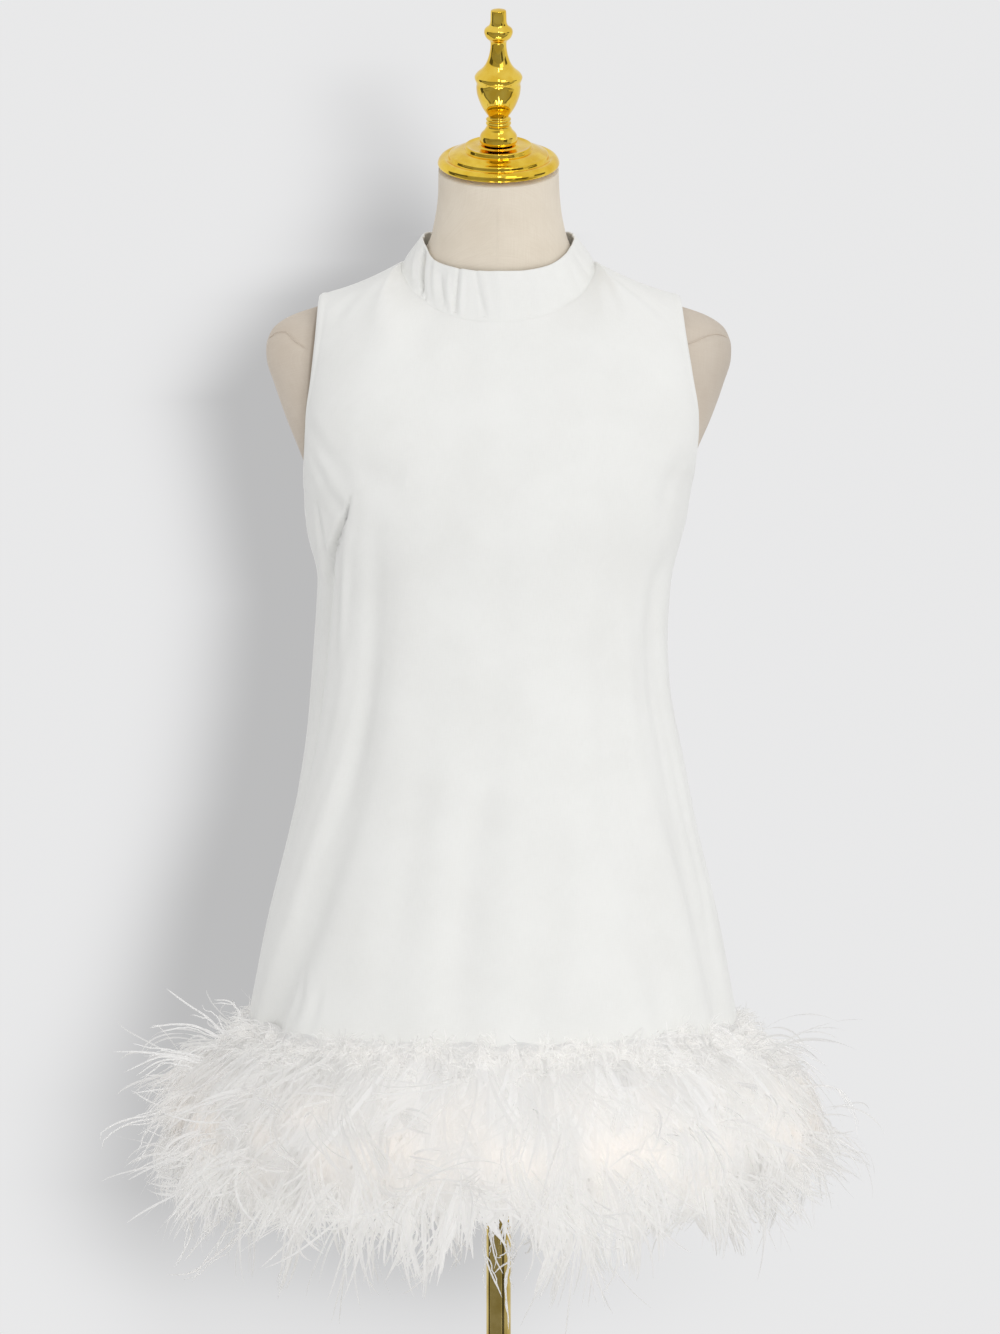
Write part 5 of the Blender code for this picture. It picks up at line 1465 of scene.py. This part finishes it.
        # the fringe parts over the pole in front, where only the single barbs cross it
        seen = to_pixel(path)
        parted = ((seen[..., 1] > 1212) & (np.abs(seen[..., 0] - 498) < 22) & (path[..., 1] < 0)).any(1)
        path, w, tilt, light = path[~parted], w[~parted], tilt[~parted], light[~parted]
        points, quads, along = ribbons(path, w, tilt)
        return points, quads, toned(points, light, 2 * (steps + 1), along, blush)

    def keep(name, parts, mat, solid=False):
        points = np.concatenate([p[0] for p in parts])
        start, quads = 0, []
        for p in parts:
            quads.append(p[1] + start)
            start += len(p[0])
        mesh = raw_mesh(name, points, np.concatenate(quads))
        set_tone(mesh, np.concatenate([p[2] for p in parts]))
        made = add(name, mesh, mat, replaces=["feather_trim"])
        made.visible_shadow = solid  # loose barbs are thin enough for light to reach the ones behind them
        pieces.append(made)
        return made

    def down_bed():
        """The short down the barbs stand in: one soft uneven layer round the hem, rolled under at its foot."""
        turn = np.linspace(-math.pi, math.pi, 361)[:-1]
        rows = []
        for z, share in ((0.7660, 0.0), (0.7640, 0.3), (0.7600, 0.5), (0.7550, 0.7), (0.7490, 0.8), (0.7420, 0.84), (0.7340, 0.86), (0.7250, 0.87),
                         (0.7150, 0.88), (0.7050, 0.88), (0.6950, 0.88), (0.6850, 0.88), (0.6750, 0.87), (0.6660, 0.85),
                         (0.6580, 0.82), (0.6510, 0.76), (0.6460, 0.66), (0.6430, 0.54), (0.6430, 0.40), (0.6470, 0.24),
                         (0.6560, 0.12), (0.6680, 0.06)):
            lump = 0.0011 * np.sin(turn * 31 + z * 260) + 0.0009 * np.sin(turn * 53 - z * 410 + 1.0) + 0.0007 * np.sin(turn * 89 + z * 700 + 2.0)
            rows.append(on_trim(turn, np.full_like(turn, z) + 0.0016 * np.sin(turn * 23 + 40 * z) * (share < 0.8), share, lump * min(1, share * 1.4) - 0.0045 * (share == 0)))
        grid = np.array(rows)
        count, around = grid.shape[:2]
        i, j = np.meshgrid(np.arange(count - 1), np.arange(around), indexing="ij")
        k = (j + 1) % around
        quads = np.stack([i * around + j, (i + 1) * around + j, (i + 1) * around + k, i * around + k], -1).reshape(-1, 4)
        light = 0.55 + 0.25 * np.sin(turn * 17)[None] * np.ones((count, 1))
        points = grid.reshape(-1, 3)
        deep = np.clip(1 - np.abs(points[:, 2] - 0.690) / 0.050, 0, 1)
        return points, quads, np.stack([light.reshape(-1), deep, np.full(len(points), 0.5)], -1)

    bed = down_bed()
    under = vanes(400, 11, 11, (0.684, 0.764), (0.036, 0.066), (2.6, 4.4), (0.90, 0.97), 0.24, 5, 1.0)
    keep("feathers_bed", [bed], body_material, solid=True)
    keep("feathers_inner", [under], body_material)
    body = vanes(640, 12, 21, (0.676, 0.762), (0.032, 0.064), (1.8, 3.2), (0.92, 1.03), 0.40, 6, 0.8)
    keep("feathers_middle", [body], material)
    # z band, stand, lift, sag, curl, length, width, part, steps, blush, brush, swing
    outer = plumes(290, 11, 31, (0.664, 0.742), (0.60, 0.98), (-36, -14, 22), (0.7, 2.0), (0.7, 2.1), (0.044, 0.084), (1.5, 2.2), 0.9, 9, 0.4, 0.75, 0.6, 2.2, 0.46)
    low = plumes(290, 11, 35, (0.642, 0.688), (0.35, 0.92), (-60, -42, 22), (0.7, 2.2), (0.9, 2.9), (0.044, 0.088), (1.5, 2.2), 1.0, 10, 0.2, 0.80, 0.8, 1.0, 0.34)
    keep("feathers_outer", [outer], material)
    keep("feathers_fringe", [low], material)
    stray = plumes(190, 6, 41, (0.646, 0.745), (0.3, 0.9), (-42, -8, 26), (0.5, 1.9), (0.5, 1.9), (0.060, 0.105), (1.4, 2.1), 1.3, 11, 0.1, 0.45, 0.7, 1.8, 0.16)
    keep("feathers_stray", [stray], material)
    down = plumes(1000, 8, 51, (0.738, 0.764), (0.2, 0.9), (24, 26, 24), (0.6, 2.2), (0.3, 2.0), (0.008, 0.018), (0.8, 1.4), 2.0, 4, 0.3, 0.0, 0.7)
    keep("feathers_down", [down], fluff_material)

    # the single long barbs
    r = np.random.default_rng(77)
    parts = []
    for depth, width, path in SINGLE_BARBS:
        line = np.array([at_depth(px, py, depth) for px, py in path])
        # the root goes back to the hem
        line[:, 1] = depth + np.linspace(0, 1, len(line)) * (0.006 * r.standard_normal())
        line = fine_line(line, 0.0045)
        at = np.linspace(0, 1, 16)
        base = np.stack([np.interp(at * (len(line) - 1), np.arange(len(line)), line[:, c]) for c in range(3)], -1)
        group = [base]
        for _ in range(2):
            drift = np.cumsum(r.normal(0, 0.00065, (16, 3)), 0) + r.normal(0, 0.0012, 3)
            cut = 0.6 + 0.35 * r.random()
            s = at * cut
            part = np.stack([np.interp(s * (len(line) - 1), np.arange(len(line)), line[:, c]) for c in range(3)], -1)
            group.append(part + drift * at[:, None] ** 0.8 * 2.0)
        group = np.array(group)
        group[..., 0] = np.clip(group[..., 0], -REACH_X, REACH_X)
        widths = np.array([width, width * 0.78, width * 0.70]) * 1.60e-3
        points, quads, along = tubes(group, widths)
        tone = np.stack([np.full(len(points), 0.95), np.zeros(len(points)), along], -1)
        parts.append((points, quads, tone))
    keep("feathers_single", parts, single_material)
    return pieces


# ================================ build ================================
CREPE = crepe("crepe_front_look")
CREPE_BACK = crepe("crepe_back_look", (0.995, 0.995, 0.995))
CREPE_COLLAR = crepe("crepe_collar_look", (1.0, 1.0, 1.0))
LINEN = linen()
SEAM_THREAD = thread("linen_thread", (0.64, 0.555, 0.46), (0.74, 0.655, 0.56))
CAP_GOLD = gold("cap_gold_look", (0.880, 0.560, 0.040), (1.0, 0.705, 0.090), 0.05, 0.12)
FINIAL_GOLD = gold("finial_gold_look", (0.890, 0.570, 0.050), (1.0, 0.715, 0.110), 0.045, 0.10)
POLE_GOLD = gold("pole_gold_look", (0.600, 0.440, 0.120), (0.740, 0.570, 0.200), 0.07, 0.14, 0.00003)
BASE_GOLD = gold("base_gold_look", (0.660, 0.460, 0.140), (0.800, 0.590, 0.220), 0.16, 0.28)
FEATHER_BODY = feather("feather_body_look", 0.25, (0.866, 0.859, 0.848), (0.911, 0.906, 0.897))
FEATHER = feather("feather_look", 0.42, (0.824, 0.817, 0.805), (0.886, 0.881, 0.871))
# the single barbs' copy is painted lighter than the other barbs' to make up for the shade on their thin undersides
SINGLE = feather("feather_single_look", 0.50, (0.960, 0.955, 0.948), (0.985, 0.981, 0.975))
FLUFF = feather("feather_down_look", 0.45, (0.895, 0.887, 0.873), (0.955, 0.948, 0.936))

front, *front_face = dress_panel("dress_front_cloth", "front", -1.0, 1.0, 190, CREPE, "dress_front")
back_left, *back_left_face = dress_panel("dress_back_left_cloth", "back", -1.0, 0.0, 96, CREPE_BACK, "dress_back_left")
back_right, *back_right_face = dress_panel("dress_back_right_cloth", "back", 0.0, 1.0, 96, CREPE_BACK, "dress_back_right")
collar_piece = collar(CREPE_COLLAR, {"front": front_face, "left": back_left_face, "right": back_right_face})

form, seams, form_grid, form_normal = dress_form(LINEN)
form_seams(seams, form_grid, form_normal, SEAM_THREAD)

for name, profile, rounds, around, tilt, place, material, node, slot in (
    ("neck_cap_gold", CAP_TURNED, 2, 160, NECK_TILT, NECK_TOP, CAP_GOLD, "neck_cap", "gold"),
    ("finial_gold", FINIAL_PROFILE, 3, 96, NECK_TILT, NECK_TOP, FINIAL_GOLD, "finial", "gold"),
    ("stand_base_gold", BASE_PROFILE, 2, 160, 0.0, (0, 0, 0), BASE_GOLD, "stand_base", "stand_gold"),
):
    points, quads, tris, uv = spun(rounded(profile, rounds), around, tilt, place)
    mesh = raw_mesh(name, points, quads, tris)
    set_uv(mesh, uv)
    add(name, mesh, material, replaces=[node])

low, high = BOSS_TOP_Z + 0.0003, FORM_BOTTOM_Z - 0.0003
pole_profile = [(0, high), (POLE_RADIUS - 0.0006, high), (POLE_RADIUS, high - 0.0006)]
pole_profile += [(POLE_RADIUS, high - 0.0006 - (high - low - 0.0012) * k / 24) for k in range(1, 24)]
pole_profile += [(POLE_RADIUS, low + 0.0006), (POLE_RADIUS - 0.0006, low), (0, low)]
points, quads, tris, uv = spun(pole_profile, 64)
mesh = raw_mesh("stand_pole_gold", points, quads, tris)
set_uv(mesh, uv)
add("stand_pole_gold", mesh, POLE_GOLD, replaces=["stand_pole"])

feather_pieces = feathers(FEATHER_BODY, FEATHER, FLUFF, SINGLE)

for node in ("zip_slider", "zip_pull"):
    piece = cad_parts[node]
    look = zip_metal(node + "_look")
    for k in range(len(piece.material_slots)):
        piece.material_slots[k].link = "OBJECT"
        piece.material_slots[k].material = look


# ================================ camera, light, floor ================================
camera_data = bpy.data.cameras.new("camera")
camera_data.sensor_width = 36
camera_data.lens = 36 * np.linalg.norm(CAMERA_TO - CAMERA_AT) / (FRAME_WIDTH * FRAME_PX[1] / FRAME_PX[0])
camera_data.clip_start, camera_data.clip_end = 0.05, 60
camera = bpy.data.objects.new("camera", camera_data)
camera.location = CAMERA_AT
camera.rotation_euler = Vector(CAMERA_TO - CAMERA_AT).to_track_quat("-Z", "Y").to_euler()
bpy.context.scene.collection.objects.link(camera)
bpy.context.scene.camera = camera
bpy.context.scene.view_settings.view_transform = "Standard"


def softbox(name, place, aim, size, power, colour=(1, 1, 1), glossy=False):
    data = bpy.data.lights.new(name, "AREA")
    data.shape, data.size, data.size_y = "RECTANGLE", size[0], size[1]
    data.energy, data.color = power, colour
    made = bpy.data.objects.new(name, data)
    made.location = place
    made.rotation_euler = (Vector(aim) - Vector(place)).to_track_quat("-Z", "Y").to_euler()
    made.visible_glossy = glossy
    bpy.context.scene.collection.objects.link(made)
    return made


# name, place, aim, size, power, colour
LIGHTS = (
    ("key", (1.2, -3.0, 1.2), (0.0, 0.0, 1.05), (1.3, 1.3), 12.6, (1.0, 1.0, 0.995)),
    ("high", (1.7, -2.5, 2.1), (0.0, 0.0, 1.05), (1.3, 1.3), 4.0, (1.0, 0.995, 0.985)),
    ("fill", (-1.9, -2.3, 1.5), (0.0, 0.0, 1.05), (1.6, 1.6), 2.5, (0.98, 0.99, 1.0)),
)
for light in LIGHTS:
    softbox(*light)
# light of the room: even, from the right, from above, from the camera side
ROOM = (0.40, 0.16, 0.35, 0.16)


# soft shade on the wall left of the dress: pixel row of the frame, pixel of its middle, how wide, how dark
WALL_SHADE = (
    (0, 372, 60, 0.0),
    (60, 370, 60, 0.05),
    (100, 368, 56, 0.25),
    (160, 388, 64, 0.46),
    (200, 396, 70, 0.75),
    (232, 398, 80, 0.98),
    (262, 392, 86, 1.0),
    (300, 330, 82, 1.0),
    (345, 285, 76, 1.0),
    (400, 240, 64, 1.0),
    (500, 255, 62, 1.0),
    (600, 270, 64, 1.0),
    (700, 262, 68, 1.0),
    (800, 245, 70, 1.0),
    (900, 213, 72, 1.0),
    (1000, 190, 80, 0.98),
    (1100, 170, 98, 0.95),
    (1190, 160, 98, 0.90),
    (1250, 165, 95, 0.55),
    (1310, 190, 90, 0.24),
    (1334, 200, 90, 0.18),
)


def studio():
    """A pale studio: even for the camera, with a soft painted shadow at the left of the wall, and with the darker
    camera side that polished metal shows.
    """
    world = bpy.data.worlds.new("studio")
    bpy.context.scene.world = world
    world.use_nodes = True
    p = Paint.__new__(Paint)
    p.tree = world.node_tree
    background = p.tree.nodes["Background"]
    output = p.tree.nodes["World Output"]
    direction = p.node("SeparateXYZ", {0: p.node("TexCoord").outputs["Generated"]})
    x, y, z = direction.outputs
    azimuth = p.math("MULTIPLY", p.math("ARCTAN2", x, p.math("MULTIPLY", y, -1.0)), 180 / math.pi)
    elevation = p.math("MULTIPLY", p.math("ARCSINE", z), 180 / math.pi)
    off = p.math("ABSOLUTE", azimuth)

    # what the camera sees
    ahead = p.math("MAXIMUM", y, 0.02)
    across, rise = p.math("DIVIDE", x, ahead), p.math("DIVIDE", z, ahead)
    per_px = FRAME_WIDTH / 2.6017 / 1000

    def seen_x(px):
        return (px - 498.5) * per_px

    def seen_z(py):
        return (667 - py) * per_px - 0.0361

    down = p.math("DIVIDE", p.math("SUBTRACT", 667.0, p.math("DIVIDE", p.math("ADD", rise, 0.0361), per_px)), 1334.0)
    ramp = p.node("ValToRGB", {0: down})
    stops = ramp.color_ramp.elements
    for k, (at, centre, wide, strength) in enumerate(WALL_SHADE):
        stop = stops[k] if k < 2 else stops.new(at / 1334)
        stop.position, stop.color = at / 1334, (centre / 1000, wide / 200, strength, 1)
    rows = p.node("SeparateColor", {0: ramp.outputs["Color"]})
    px = p.math("ADD", p.math("DIVIDE", across, per_px * 1000), 0.4985)
    side = p.math("MINIMUM", p.math("SUBTRACT", px, rows.outputs[0]), p.spread(rise, seen_z(240), seen_z(205)))
    side = p.math("DIVIDE", side, p.math("MULTIPLY", rows.outputs[1], 0.2))
    bell = p.math("EXPONENT", p.math("MULTIPLY", p.math("MULTIPLY", side, side), -1.0))
    # behind the object it stays dark, and ends there
    bell = p.math("MULTIPLY", bell, p.spread(px, 0.600, 0.440))
    ahead_only = p.spread(y, 0.5, 0.8)
    shade = p.math("MULTIPLY", p.math("MULTIPLY", bell, rows.outputs[2]), ahead_only)
    # a softer painted shadow below the trim
    wide = p.math("DIVIDE", p.math("SUBTRACT", across, seen_x(480)), 190 * per_px)
    tall = p.math("DIVIDE", p.math("SUBTRACT", rise, seen_z(1262)), 72 * per_px)
    spot = p.math("ADD", p.math("MULTIPLY", wide, wide), p.math("MULTIPLY", tall, tall))
    under = p.math("MULTIPLY", p.math("EXPONENT", p.math("MULTIPLY", spot, -1.0)), ahead_only)
    seen = p.math("SUBTRACT", p.math("SUBTRACT", 0.814, p.math("MULTIPLY", shade, 0.311)), p.math("MULTIPLY", under, 0.090))

    # what shows in the metal
    def band(value, middle, half, soft):
        """One inside middle +- half, fading to none over soft."""
        away = p.math("ABSOLUTE", p.math("SUBTRACT", value, middle))
        return p.spread(away, half + soft, half)

    def both(a, b):
        return p.math("MULTIPLY", a, b)

    def instead(value, gate, other):
        return p.math("ADD", both(value, p.math("SUBTRACT", 1.0, gate)), both(gate, other))

    room = both(band(elevation, -41.0, 22.0, 3.0), band(azimuth, -4.0, 80.0, 6.0))
    room_edge = both(band(elevation, -41.0, 25.5, 2.0), band(azimuth, -4.0, 90.0, 5.0))
    value = both(0.76, p.math("SUBTRACT", 1.0, both(room_edge, 0.80)))
    value = p.math("ADD", value, both(room, 0.21))
    # level with the finial, and level with the pole
    upper = 0.76
    for middle, half, soft, add_on in ((-24.0, 32.0, 4.0, -0.42), (-80.0, 21.0, 4.0, -0.66), (27.0, 13.0, 3.0, 1.10), (80.0, 12.0, 3.0, -0.64)):
        upper = p.math("ADD", upper, both(band(azimuth, middle, half, soft), add_on))
    lower = 0.76
    for middle, half, soft, add_on in ((-29.0, 54.0, 3.0, -0.47), (-98.0, 10.0, 3.0, -0.68), (43.0, 12.0, 3.0, -0.66), (74.0, 14.0, 3.0, -0.22)):
        lower = p.math("ADD", lower, both(band(azimuth, middle, half, soft), add_on))
    value = instead(value, both(p.spread(elevation, 3.0, 5.0), p.spread(elevation, 19.0, 15.0)), upper)
    value = instead(value, both(p.spread(elevation, -19.0, -17.0), p.spread(elevation, 5.0, 3.0)), lower)
    strip = both(band(azimuth, 1.5, 1.3, 1.2), p.math("ADD", p.spread(elevation, -50.0, -56.0), band(elevation, 32.0, 8.0, 3.0)))
    low = band(elevation, -72.0, 5.5, 2.0)
    windows = p.math("ADD", both(both(band(azimuth, 9.0, 4.0, 1.5), low), 8.0), both(both(band(azimuth, -32.0, 6.0, 1.5), low), 5.0))
    windows = p.math("ADD", windows, both(both(band(azimuth, 42.0, 8.0, 1.5), low), 5.0))
    high = both(both(band(azimuth, 22.0, 8.0, 1.0), band(elevation, 26.5, 5.0, 1.5)), 3.5)
    glossy = p.math("ADD", p.math("ADD", value, both(strip, 8.0)), p.math("ADD", windows, high))
    path = p.node("LightPath")
    for_metal = p.math("MULTIPLY", path.outputs["Is Glossy Ray"], 1.0)
    lights = ROOM[0]
    for share, axis, sign in ((ROOM[1], x, 0.5), (ROOM[2], z, 0.5), (ROOM[3], y, -0.5)):
        lights = p.math("ADD", lights, p.math("MULTIPLY", p.math("ADD", 0.5, p.math("MULTIPLY", axis, sign)), share))
    other = p.node("Mix", data_type="FLOAT")
    p.put(other.inputs[0], for_metal)
    p.put(other.inputs[2], lights)
    p.put(other.inputs[3], glossy)
    final = p.node("Mix", data_type="FLOAT")
    p.put(final.inputs[0], path.outputs["Is Camera Ray"])
    p.put(final.inputs[2], other.outputs[0])
    p.put(final.inputs[3], seen)
    background.inputs["Color"].default_value = (0.998, 0.998, 1.004, 1)
    p.put(background.inputs["Strength"], final.outputs[0])
    return output


studio()


def floor():
    """A pale round floor that fades out at its edge."""
    around, rings = 128, 24
    radius = np.linspace(0, 1.85, rings + 1)[1:]
    turn = np.linspace(0, 2 * math.pi, around + 1)[:-1]
    ring = np.stack(
        [radius[:, None] * np.cos(turn), radius[:, None] * np.sin(turn), np.full((rings, around), -0.0004)], -1
    ).reshape(-1, 3)
    points = np.concatenate([ring, [[0, 0, -0.0004]]])
    i, j = np.meshgrid(np.arange(rings - 1), np.arange(around), indexing="ij")
    k = (j + 1) % around
    quads = np.stack([i * around + j, (i + 1) * around + j, (i + 1) * around + k, i * around + k], -1).reshape(-1, 4)
    j = np.arange(around)
    tris = np.stack([np.full(around, len(ring)), j, (j + 1) % around], -1)
    mesh = raw_mesh("floor", points, quads, tris)
    p = Paint("floor_look")
    place = p.place()
    parts = p.node("SeparateXYZ", {0: place})
    reach = p.math("SQRT", p.math("ADD", p.math("POWER", parts.outputs[0], 2.0), p.math("POWER", parts.outputs[1], 2.0)))
    grain = p.noise(place, 40.0, 3.0)
    p.set(colour=p.mix(grain, (0.80, 0.80, 0.80), (0.83, 0.83, 0.83)), roughness=0.8, specular=0.2)
    clear = p.node("BsdfTransparent")
    mixed = p.node("MixShader")
    p.put(mixed.inputs[0], p.spread(reach, 1.80, 0.9))
    p.put(mixed.inputs[1], clear.outputs[0])
    p.put(mixed.inputs[2], p.shader.outputs[0])
    p.put(p.output.inputs["Surface"], mixed.outputs[0])
    mesh.materials.append(p.material)
    made = bpy.data.objects.new("floor", mesh)
    bpy.context.scene.collection.objects.link(made)
    made.visible_glossy = False


floor()

bpy.context.view_layer.update()
